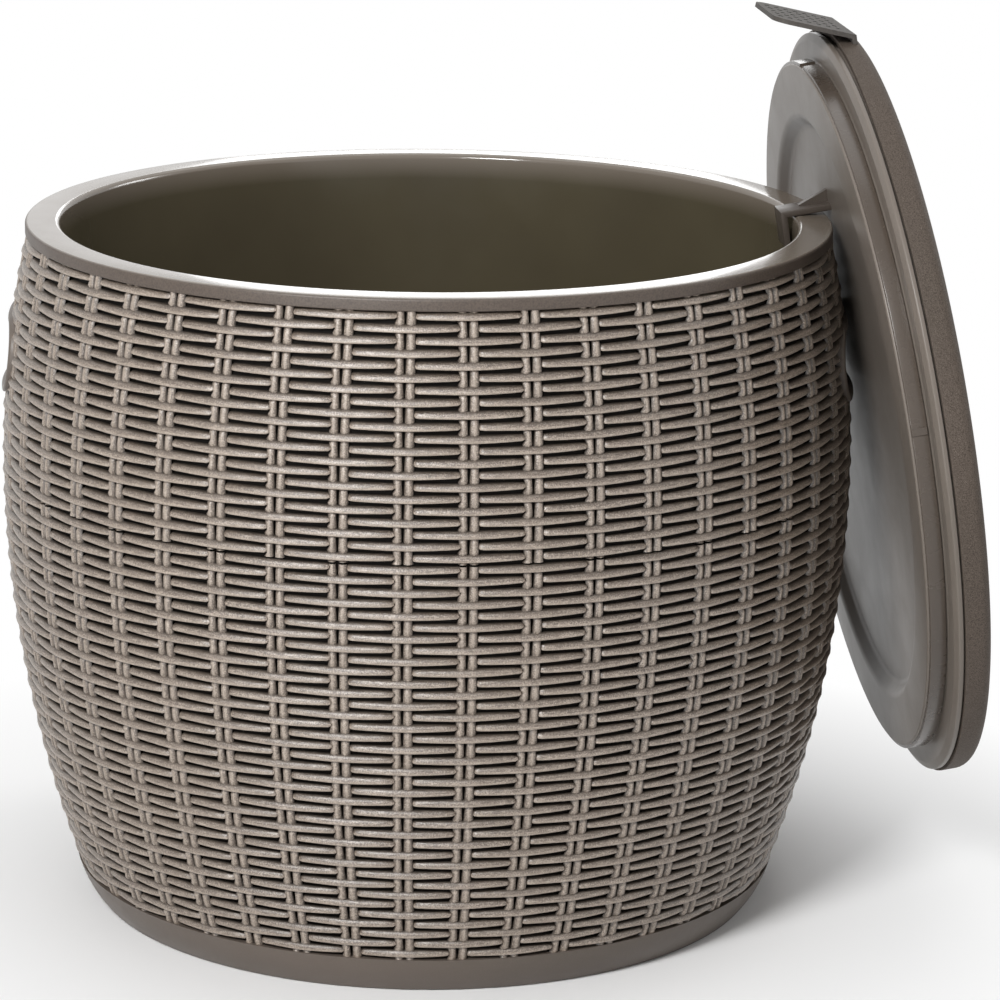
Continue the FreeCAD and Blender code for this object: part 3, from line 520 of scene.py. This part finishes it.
def soft_plastic():
    """The pull tab: charcoal, flexible and matt, with painted shade, near-black, on the walls of
    its holes.
    """
    finish = Finish("soft_plastic", IOR=1.47, Specular_IOR_Level=0.2)
    grain = finish.noise(900.0, 3.0)
    dust = finish.fitted(finish.noise(70.0, 4.0), 0.5, 0.8, 0.0, 0.25)
    base = finish.mix(finish.fitted(grain, 0.4, 0.7), colour(66, 63, 60), colour(78, 74, 70))
    dusty = finish.mix(dust, base, colour(98, 93, 88))
    return finish.set(
        # Painted shade on the walls of the holes
        Base_Color=finish.mix(finish.attribute("hole"), dusty, colour(10, 9, 8)),
        Roughness=finish.fitted(grain, 0.3, 0.7, 0.5, 0.68),
        Normal=finish.bump(grain, 0.06, 0.5),
    )


def black_rubber():
    """The bung and the gasket: matt, with a greyish bloom."""
    finish = Finish("black_rubber", IOR=1.45)
    bloom = finish.noise(120.0, 4.0)
    worn = finish.fitted(bloom, 0.45, 0.75)
    return finish.set(
        Base_Color=finish.mix(worn, colour(30, 30, 30), colour(52, 51, 50)),
        Roughness=finish.fitted(bloom, 0.3, 0.7, 0.6, 0.8),
        Normal=finish.bump(finish.noise(1500.0, 2.0), 0.04, 0.5),
    )


def zinc_steel():
    """The screws: plated steel with faint turning marks."""
    finish = Finish("zinc_steel", Metallic=1.0)
    turning = finish.noise(1.0, 3.0, place=finish.stretched(400.0, 400.0, 3000.0))
    return finish.set(
        Base_Color=finish.mix(turning, colour(150, 150, 150), colour(196, 196, 192)),
        Roughness=finish.fitted(turning, 0.3, 0.7, 0.25, 0.45),
    )


# The fibres of a strand run round the barrel, and those of a stake run up it.
STRAND = woven_plastic("strand_plastic", (170.0, 170.0, 1500.0), colour(116, 102, 90))
STAKE = woven_plastic("stake_plastic", (1500.0, 1500.0, 170.0), colour(105, 92, 81))
# The ground behind the weave, painted near-black as shade
HOLLOW = painted_shade_plastic()
RIM = liner_plastic()
TOP = grained_plastic()
TAB = soft_plastic()
RUBBER = black_rubber()
ZINC = zinc_steel()

# Name, base, dark and pale colour, roughness from smooth to marked, gloss
RING, LID_UNDER, HOOK, BAND = [
    smooth_plastic(*row)
    for row in (
        ("ring_plastic", (90, 81, 74), (84, 76, 69), (104, 95, 87), (0.38, 0.5), 0.4),
        ("underside_plastic", (106, 98, 91), (99, 92, 85), (110, 102, 95), (0.34, 0.4), 0.3),
        # The hook: the underside's plastic darkened as painted shade
        ("hook_painted_shade_plastic", (78, 70, 63), (70, 63, 57), (96, 88, 80), (0.36, 0.46), 0.3),
        ("band_rubber", (68, 59, 51), (72, 64, 57), (84, 76, 68), (0.24, 0.32), 0.5),
    )
]


# The weave: strands that pass over every second pair of stakes, and the stakes themselves

# Along a strand, from its left end at -1 over the stakes at 0 to its right end at 1: the place,
# the height of its lower edge over the row's middle, its own height, and how deep it lies
STRAND_STOPS = [
    (-1.0, -0.6, 2.5, 2.5),
    (-0.975, -1.15, 3.5, 1.6),
    (-0.9, -1.35, 3.85, 1.2),
    (-0.6, -1.4, 3.95, 0.75),
    (-0.25, -1.45, 4.05, 0.25),
    (0.1, -1.5, 4.1, 0.0),
    (0.45, -1.35, 4.0, 0.45),
    (0.75, -1.15, 3.8, 0.95),
    (0.95, -0.95, 3.5, 1.4),
    (1.0, -0.4, 2.6, 2.2),
]

# Across a strand, from its lower edge up: the share of its height, how deep that point lies, and
# how much painted light it gets: a painted highlight at the lower edge and painted shade to the
# top
STRAND_SECTION = [
    (0.08, 2.8, 0.3),
    (0.0, 0.8, 0.9),
    (0.06, 0.2, 1.0),
    (0.2, 0.0, 0.95),
    (0.6, 0.45, 0.72),
    (0.85, 1.45, 0.42),
    (1.0, 3.2, 0.05),
]


def grip_distance(y, z):
    """How far a point on the wall lies outside the grip's bezel, seen square on."""
    past = max(abs(y) - GRIP_STRAIGHT, 0.0)
    return math.hypot(past, z - GRIP_HEIGHT) - (GRIP_OPENING / 2 + BEZEL_WIDTH)


def open_grips(bm):
    """Takes the faces away that lie under the bezels' inner edges."""

    def hidden(vert):
        at_side = abs(vert.co.x) > RIM_RADIUS / 2
        return at_side and grip_distance(vert.co.y, vert.co.z) < -BEZEL_COVER

    under = [face for face in bm.faces if any(hidden(vert) for vert in face.verts)]
    bmesh.ops.delete(bm, geom=under, context="FACES")


def colour_weave(bm, seed):
    """Gives each strand a tone of its own."""
    tone = bm.verts.layers.float.new("tone")
    draw = random.Random(seed)
    tones = {}
    for vert in bm.verts:
        row = int((RIM_SEAT - vert.co.z) / ROW_PITCH)
        turn = (math.atan2(vert.co.y, vert.co.x) - STAKE_PHASE) / STAKE_STEP
        key = (row, math.floor((turn - row % 2 + 1) / 2))
        if key not in tones:
            tones[key] = draw.random()
        vert[tone] = tones[key]


def set_round(vert, out, turn, up):
    """Puts a vertex at this distance from the axis, angle and height."""
    vert.co = (out * math.cos(turn), out * math.sin(turn), up)


def make_strand(bm, lift, height, angle):
    """One strand over the pair of stakes at this angle."""
    radius = barrel_radius(height)
    stake_edge = STAKE_SPREAD + STAKE_HALF_WIDTH
    reach_left = STAKE_STEP - (stake_edge - STRAND_LEFT_TUCK) / radius
    reach_right = STAKE_STEP - (stake_edge - STRAND_RIGHT_TUCK) / radius
    along, across = len(STRAND_STOPS) - 1, len(STRAND_SECTION) - 1
    grid = bmesh.ops.create_grid(bm, x_segments=along, y_segments=across, size=1.0)["verts"]
    for vert in grid:
        place, lower, tall, sunk = STRAND_STOPS[round((vert.co.x + 1) * along / 2)]
        share, depth, light = STRAND_SECTION[round((vert.co.y + 1) * across / 2)]
        up = height + lower + tall * share
        turn = angle + place * (reach_right if place > 0 else reach_left)
        set_round(vert, barrel_radius(up) - sunk - depth, turn, up)
        # The painted light across the strand, for painted shade and a painted highlight
        vert[lift] = light


def make_strands(name, first_row, last_row, replaces):
    bm = bmesh.new()
    lift = bm.verts.layers.float.new("lift")
    for row in range(first_row, last_row):
        start = len(bm.verts)
        height = RIM_SEAT - (row + 0.5) * ROW_PITCH
        make_strand(bm, lift, height, STAKE_PHASE + row % 2 * STAKE_STEP)
        repeat_round(bm, start)
    open_grips(bm)
    colour_weave(bm, first_row)
    finish_piece(bm, name, "bucket", STRAND, replaces, sharp=WEAVE_SHARP)


def make_stake(bm, lift, low, high, pair, side):
    """One bar of a pair, from the height low to the height high."""
    steps = round((high - low) / ROW_PITCH) * STAKE_ROW_FACES
    grid = bmesh.ops.create_grid(bm, x_segments=steps, y_segments=STAKE_FACES, size=1.0)["verts"]
    for vert in grid:
        height = low + (vert.co.x + 1) / 2 * (high - low)
        row = (RIM_SEAT - height) / ROW_PITCH - 0.5
        # 1 where a strand passes over the stake, and -1 in the middle between two
        under = math.cos(math.pi * (row - pair))
        depth = STAKE_SINK + STAKE_DIVE * max(0.0, under) ** 1.5
        swing = STAKE_SWING * vert.co.y
        fall = STAKE_ROUND * (1 - math.cos(swing))
        half_width = STAKE_HALF_WIDTH * (1 - STAKE_SWELL * math.sin(math.pi * (row - pair)))
        out = barrel_radius(height) - depth - half_width * fall
        across = side * STAKE_SPREAD + half_width * math.sin(swing)
        if side < 0 and vert.co.y < 0:
            across += STAKE_NOTCH * max(0.0, -under) ** 4 * abs(math.sin(swing))
        set_round(vert, out, STAKE_PHASE + pair * STAKE_STEP + across / out, height)
        # Painted light: painted shade where the round face turns away to the sides and where a
        # strand passes over
        vert[lift] = 1.0 - fall - STAKE_SHADE * max(0.0, under)


def make_stakes(name, low, high):
    """Pairs of half-round bars that bulge between the strands passing over them."""
    bm = bmesh.new()
    lift = bm.verts.layers.float.new("lift")
    for pair in (0, 1):
        for side in (-1, 1):
            start = len(bm.verts)
            make_stake(bm, lift, low, high, pair, side)
            repeat_round(bm, start)
    bmesh.ops.reverse_faces(bm, faces=bm.faces)
    open_grips(bm)
    colour_weave(bm, STAKE_SEED)
    finish_piece(bm, name, "bucket", STAKE, sharp=WEAVE_SHARP)


def make_ground(name, low, high):
    """The skin behind the weave, painted near-black as shade, with an inward lip at each end."""
    heights = [low + (high - low) * band / GROUND_BANDS for band in range(GROUND_BANDS + 1)]
    outline = [(barrel_radius(height) - GROUND_DEPTH, height) for height in heights]
    outline.insert(0, (barrel_radius(low) - GROUND_LIP, low))
    outline.append((barrel_radius(high) - GROUND_LIP, high))
    bm = lathe(outline, GROUND_STEPS, closed=False)
    open_grips(bm)
    finish_piece(bm, name, "bucket", HOLLOW)


make_strands("weave_upper", 0, ROWS_ABOVE_SEAM, ["outer_shell_upper"])
make_strands("weave_lower", ROWS_ABOVE_SEAM, ROWS, ["outer_shell_lower"])
make_stakes("stakes_upper", SEAM_HEIGHT + SEAM_GAP, RIM_SEAT)
make_stakes("stakes_lower", RING_HEIGHT, SEAM_HEIGHT - SEAM_GAP)
make_ground("wall_upper", SEAM_HEIGHT, RIM_SEAT)
make_ground("wall_lower", RING_HEIGHT, SEAM_HEIGHT)


# The liner with the rim


def make_liner():
    rim_under = BARREL_HEIGHT - LINER_WALL
    floor_under = LINER_FLOOR - LINER_WALL
    outline = [
        (RIM_RADIUS - RIM_LIP_WALL, RIM_SEAT),
        (RIM_RADIUS, RIM_SEAT, RIM_LOWER_ROUND),
        (RIM_RADIUS, BARREL_HEIGHT, RIM_OUTER_ROUND),
        (MOUTH_RADIUS, BARREL_HEIGHT, RIM_INNER_ROUND),
        (LINER_FLOOR_RADIUS, LINER_FLOOR, LINER_CORNER),
        (DRAIN_HOLE, LINER_FLOOR),
        (DRAIN_HOLE, floor_under),
        (LINER_FLOOR_RADIUS + LINER_WALL, floor_under, LINER_CORNER),
        (MOUTH_RADIUS + LINER_WALL, rim_under),
        (RIM_RADIUS - RIM_LIP_WALL, rim_under),
    ]
    finish_piece(lathe(eased(outline, 8)), "liner", "bucket", RIM, ["inner_liner"])


make_liner()


# The grips

# From the bezel's outer edge to the mouth: how far outside the mouth a ring of the grip lies, and
# how far it stands proud of the weave's crest
BEZEL_RINGS = [
    (BEZEL_WIDTH, 0.2),
    (3.85, 0.65),
    (3.4, 1.0),
    (2.6, 1.18),
    (1.8, 1.15),
    (1.0, 0.85),
    (0.4, 0.35),
    (0.08, -0.4),
    (0.0, -1.4),
]

# Inside the recess: the same, and how far the ring lies in front of the recess's floor
RECESS_RINGS = [(-0.15, 3.0), (-0.5, 1.4), (-1.5, 0.4), (-3.0, 0.0)]


def make_grip(name, turn, node):
    """A slot-shaped recess with a rounded bead round its mouth, set into the barrel's curve."""

    def on_weave(proud):
        return lambda y, z: math.sqrt((barrel_radius(z) + proud) ** 2 - y**2)

    def on_floor(rise):
        return lambda y, z: GRIP_FLOOR + rise

    def set_ring(verts, offset, face_at):
        for vert in verts:
            middle_y = max(-GRIP_STRAIGHT, min(GRIP_STRAIGHT, vert.co.y))
            middle = Vector((0, middle_y, GRIP_HEIGHT))
            away = Vector((0, vert.co.y, vert.co.z)) - middle
            spot = middle + away.normalized() * (GRIP_OPENING / 2 + offset)
            vert.co = (face_at(spot.y, spot.z), spot.y, spot.z)

    bm = bmesh.new()
    circle = bmesh.ops.create_circle(bm, segments=GRIP_END_FACES, radius=1.0)["verts"]
    reach = GRIP_OPENING / 2 + BEZEL_WIDTH
    for vert in circle:
        angle = math.atan2(vert.co.y, vert.co.x) + math.pi / GRIP_END_FACES
        end = GRIP_STRAIGHT if math.cos(angle) > 0 else -GRIP_STRAIGHT
        vert.co = (0, end + reach * math.cos(angle), GRIP_HEIGHT + reach * math.sin(angle))
    long_edges = [edge for edge in bm.edges if edge.calc_length() > GRIP_STRAIGHT]
    bmesh.ops.subdivide_edges(bm, edges=long_edges, cuts=GRIP_SIDE_CUTS)
    set_ring(bm.verts, BEZEL_WIDTH, on_weave(-BEZEL_SKIRT))

    rings = [(offset, on_weave(proud)) for offset, proud in BEZEL_RINGS]
    rings += [(offset, on_floor(rise)) for offset, rise in RECESS_RINGS]
    edge_ring = bm.edges[:]
    for offset, face_at in rings:
        made = bmesh.ops.extrude_edge_only(bm, edges=edge_ring)["geom"]
        edge_ring = [part for part in made if isinstance(part, bmesh.types.BMEdge)]
        verts = [part for part in made if isinstance(part, bmesh.types.BMVert)]
        set_ring(verts, offset, face_at)
    bmesh.ops.contextual_create(bm, geom=edge_ring)
    bmesh.ops.recalc_face_normals(bm, faces=bm.faces)
    floor_face = max(bm.faces, key=lambda face: face.calc_area())
    floor_face.normal_update()
    if floor_face.normal.x < 0:
        bmesh.ops.reverse_faces(bm, faces=bm.faces)
    place = Matrix.Rotation(turn, 4, "Z")
    finish_piece(bm, name, "bucket", RING, [node], place=place)


make_grip("grip_right", 0.0, "handle_cup_right")
make_grip("grip_left", math.pi, "handle_cup_left")


# The lid, drawn lying flat with its underside down, then hung by its hook


def make_lid_top():
    lip = LID_SEAM + FIT
    crown = LID_TOP_FACE + LID_CROWN
    outline = [
        (LID_RADIUS, lip, LID_LIP_ROUND),
        (LID_RADIUS, LID_TOP_FACE, LID_EDGE_ROUND),
        (0.0, crown),
        (0.0, crown - LID_WALL),
        (LID_RADIUS - LID_WALL, LID_TOP_FACE - LID_WALL),
        (LID_RADIUS - LID_WALL, lip),
    ]
    bm = lathe(eased(outline, 8))
    for vert in bm.verts:
        if vert.co.z < TAB_WEDGE_TOP:
            beside_tab = math.atan2(vert.co.y, -vert.co.x) / TAB_WEDGE_REACH
            vert.co.z += TAB_WEDGE * math.exp(-(beside_tab**2))
    hang_piece(bm, "table_top", TOP, "lid_top")


def make_lid_underside():
    plug = PLUG_RADIUS - BAND_WALL
    edge = UNDER_RADIUS
    spigot_top = UNDER_TOP + SPIGOT_HEIGHT
    outline = [
        (edge, UNDER_TOP, 0.5),
        (edge, UNDER_BEVEL, 1.2),
        (edge - UNDER_BEVEL_WIDTH, 0.0, 3.0),
        (plug, 0.0, 2.0),
        (plug, -PLUG_HEIGHT, 1.2),
        (RECESS_RADIUS, -PLUG_HEIGHT, 6.0),
        (RECESS_RADIUS - RECESS_SLOPE, DISC, 5.0),
        (0.0, DISC),
        (0.0, DISC + LID_WALL),
        (RECESS_RADIUS - RECESS_SLOPE + LID_WALL, DISC + LID_WALL),
        (RECESS_RADIUS + LID_WALL, LID_WALL - PLUG_HEIGHT),
        (plug - LID_WALL, LID_WALL - PLUG_HEIGHT),
        (plug - LID_WALL, LID_WALL),
        (edge - 2 * LID_WALL, LID_WALL),
        (edge - 2 * LID_WALL, spigot_top),
        (edge - LID_WALL, spigot_top),
        (edge - LID_WALL, UNDER_TOP),
    ]
    hang_piece(lathe(eased(outline, 6)), "underside", LID_UNDER, "lid_underside")


def make_seal_band():
    """A flat band round the plug, cut through at the top and butted at one side."""
    outline = [
        (PLUG_RADIUS - BAND_WALL, -BAND_INSET),
        (PLUG_RADIUS, -BAND_INSET, 0.5),
        (PLUG_RADIUS, BAND_INSET - PLUG_HEIGHT, 0.5),
        (PLUG_RADIUS - BAND_WALL, BAND_INSET - PLUG_HEIGHT),
    ]
    bm = lathe(eased(outline, 3))

    def beside(face, angle):
        centre = face.calc_center_median()
        return abs(math.atan2(centre.y, -centre.x) - angle) < BAND_GAP_REACH

    def outside(face):
        return math.hypot(*face.calc_center_median()[:2]) > PLUG_RADIUS - 0.1

    gap = [face for face in bm.faces if beside(face, 0.0)]
    bmesh.ops.delete(bm, geom=gap, context="FACES")
    bmesh.ops.holes_fill(bm, edges=bm.edges, sides=40)
    patch = [face for face in bm.faces if beside(face, BAND_PATCH) and outside(face)]
    dent = {"thickness": BAND_PATCH_DENT, "depth": BAND_PATCH_DENT}
    bmesh.ops.inset_region(bm, faces=patch, use_even_offset=True, **dent)
    hang_piece(bm, "seal_band", BAND, "lid_seal_band")


def make_hook():
    """An arm out of the disc with a leg that drops inside the rim, and a gusset over the arm."""
    # The leg stays clear of the liner's wall, which is drafted and curved across the leg.
    chord = HOOK_WIDTH**2 / 8 / MOUTH_RADIUS
    draft = HOOK_LEG * (MOUTH_RADIUS - LINER_FLOOR_RADIUS) / (BARREL_HEIGHT - LINER_FLOOR)
    wall_out = (MOUTH_RADIUS - chord - draft) * lean_cos + (BARREL_HEIGHT - HOOK_LEG) * lean_sin
    leg_face = wall_out - 2 * FIT - OUT
    leg_back = leg_face - HOOK_WALL
    arm_low, arm_top = -HOOK_DROP, -HOOK_DROP - HOOK_WALL
    root = DISC + HOOK_ROOT
    bm = bmesh.new()
    arm = [
        (arm_low, root),
        (arm_low, leg_face),
        (arm_low + HOOK_LEG, leg_face),
        (arm_low + HOOK_LEG, leg_back),
        (arm_top, leg_back),
        (arm_top, root),
    ]
    add_plate(bm, arm, HOOK_WIDTH)
    bmesh.ops.bevel(
        bm,
        geom=[edge for edge in bm.edges if edge.calc_length() > 3.0],
        offset=HOOK_EDGE_ROUND,
        offset_type="OFFSET",
        affect="EDGES",
        segments=2,
        profile=0.5,
        material=-1,
    )
    gusset_foot = arm_low - HOOK_WALL / 2
    gusset = [
        (gusset_foot, root),
        (gusset_foot, DISC - GUSSET_LENGTH),
        (arm_top - GUSSET_TIP, DISC - GUSSET_LENGTH),
        (arm_top - GUSSET_RISE, root),
    ]
    add_plate(bm, gusset, GUSSET_WALL)
    hang_piece(bm, "hook", HOOK, "lid_hook")


def make_tab():
    """The pull tab's CAD mesh with its doubles merged and the walls of its holes marked for
    painted shade.
    """
    bm = bmesh.new()
    bm.from_mesh(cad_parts["lid_tab"].data)
    bmesh.ops.remove_doubles(bm, verts=bm.verts, dist=1e-6)
    hole = bm.faces.layers.float.new("hole")
    bm.normal_update()
    seen = set()
    for start in bm.faces:
        if start in seen:
            continue
        island, queue = [], [start]
        seen.add(start)
        while queue:
            face = queue.pop()
            island.append(face)
            for edge in face.edges:
                if edge.calc_face_angle(math.pi) < HOLE_FOLD:
                    fresh = [other for other in edge.link_faces if other not in seen]
                    seen.update(fresh)
                    queue.extend(fresh)
        corners = [vert.co for face in island for vert in face.verts]
        reach = max((corner - corners[0]).length for corner in corners)
        for face in island:
            face[hole] = 1.0 if reach < HOLE_REACH else 0.0
    bm.transform(Matrix.Scale(1 / MM, 4))
    finish_piece(bm, "tab", "lid", TAB, ["lid_tab"])


make_lid_top()
make_lid_underside()
make_seal_band()
make_hook()
make_tab()


# The pieces that keep their CAD shapes

CAD_FINISHES = {
    "base_pan": RING,
    "drain_fitting": TAB,
    "drain_nut": TAB,
    "drain_gasket": RUBBER,
    "drain_plug": RUBBER,
    "handle_screws": ZINC,
    "shell_screws": ZINC,
    "base_screws": ZINC,
    "hook_screws": ZINC,
}
for node, material in CAD_FINISHES.items():
    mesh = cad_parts[node].data
    mesh.materials.clear()
    mesh.materials.append(material)


# The studio, in metres: a pale floor, a white surround for the camera, and soft lamps

WHITE = (1.0, 1.0, 1.0, 1.0)
PAPER = (0.8, 0.8, 0.8, 1.0)
FLOOR_RADIUS = 30.0
FLOOR_DROP = 0.0003
# The floor's shadow fades out between these distances from the axis.
SHADOW_NEAR = 0.19
SHADOW_FAR = 0.45
SKY_LIGHT = 0.22

# Name, place, target, size and power of each lamp
LAMPS = [
    ("key", (-0.9, -2.15, 1.9), (0, 0, 0.15), (0.7, 0.7), 82.0),
    ("low", (-0.75, -1.8, 0.14), (0, 0, 0.26), (1.2, 0.24), 8.0),
    ("fill", (1.8, -2.0, 0.9), (0, 0, 0.2), (1.4, 1.4), 2.0),
    ("top", (0.0, 0.7, 2.2), (0, 0, 0.3), (2.2, 1.8), 14.0),
    ("side", (2.6, 1.3, 1.4), (0.25, 0, 0.2), (1.0, 1.0), 30.0),
    ("back", (0.01, 3.0, 1.0), (0, 0, 0.37), (0.66, 0.56), 3.4),
    ("back_left", (-0.57, 3.0, 1.0), (0, 0, 0.37), (0.46, 0.56), 0.32),
]


def make_floor():
    bm = bmesh.new()
    bmesh.ops.create_circle(bm, cap_ends=True, segments=96, radius=FLOOR_RADIUS)
    mesh = bpy.data.meshes.new("floor")
    bm.to_mesh(mesh)
    bm.free()
    finish = Finish("floor_paper", Base_Color=PAPER, Roughness=0.9)
    paper = Value(finish, finish.shader.outputs["BSDF"])
    white = finish.node("ShaderNodeEmission", Strength=1.0)["Emission"]
    beyond = finish.fitted(finish.length(finish.place), SHADOW_NEAR, SHADOW_FAR)
    share = finish.seen_ray() * beyond
    mixed = finish.node("ShaderNodeMixShader", Fac=share, Shader=[paper, white])["Shader"]
    output = finish.tree.nodes["Material Output"]
    finish.tree.links.new(mixed.socket, output.inputs["Surface"])
    mesh.materials.append(finish.material)
    floor = bpy.data.objects.new("floor", mesh)
    bpy.context.scene.collection.objects.link(floor)
    floor.location.z = -FLOOR_DROP


def make_world():
    world = bpy.data.worlds.new("studio")
    bpy.context.scene.world = world
    world.use_nodes = True
    world.node_tree.nodes.clear()
    nodes = Nodes(world.node_tree)
    lit = nodes.node("ShaderNodeBackground", Color=WHITE, Strength=SKY_LIGHT)["Background"]
    shown = nodes.node("ShaderNodeBackground", Color=WHITE)["Background"]
    sky = nodes.node("ShaderNodeMixShader", Fac=nodes.seen_ray(), Shader=[lit, shown])["Shader"]
    nodes.node("ShaderNodeOutputWorld", Surface=sky)


def make_lamp(name, place, target, size, power):
    data = bpy.data.lights.new(name, "AREA")
    data.shape = "RECTANGLE"
    data.size, data.size_y = size
    data.energy = power
    lamp = bpy.data.objects.new(name, data)
    bpy.context.scene.collection.objects.link(lamp)
    lamp.location = place
    lamp.rotation_euler = (Vector(target) - Vector(place)).to_track_quat("-Z", "Y").to_euler()


make_floor()
make_world()
for lamp_row in LAMPS:
    make_lamp(*lamp_row)


# The camera, as fitted to the photograph: its focus is in pixels of a frame 1000 wide

CAMERA_PLACE = (35.1, -2223.8, 788.4)
CAMERA_TILT = 0.2534
CAMERA_ROLL = 0.0118
CAMERA_FOCUS = 4291.1
CAMERA_ZOOM = 0.985
CAMERA_SHIFT = (0.008, 0.003)
FRAME_WIDTH = 1000
SENSOR_WIDTH = 36.0


def make_camera():
    data = bpy.data.cameras.new("camera")
    data.sensor_width = SENSOR_WIDTH
    data.lens = CAMERA_FOCUS * CAMERA_ZOOM * SENSOR_WIDTH / FRAME_WIDTH
    data.shift_x, data.shift_y = CAMERA_SHIFT
    data.clip_start = 0.1
    data.clip_end = 60.0
    camera = bpy.data.objects.new("camera", data)
    bpy.context.scene.collection.objects.link(camera)
    level_right = Vector((1, 0, 0))
    level_up = Vector((0, math.sin(CAMERA_TILT), math.cos(CAMERA_TILT)))
    ahead = Vector((0, math.cos(CAMERA_TILT), -math.sin(CAMERA_TILT)))
    right = level_right * math.cos(CAMERA_ROLL) + level_up * math.sin(CAMERA_ROLL)
    above = level_up * math.cos(CAMERA_ROLL) - level_right * math.sin(CAMERA_ROLL)
    turn = Matrix((right, above, -ahead)).transposed().to_4x4()
    camera.matrix_world = Matrix.Translation(Vector(CAMERA_PLACE) * MM) @ turn
    bpy.context.scene.camera = camera


make_camera()
bpy.context.scene.view_settings.view_transform = "Standard"
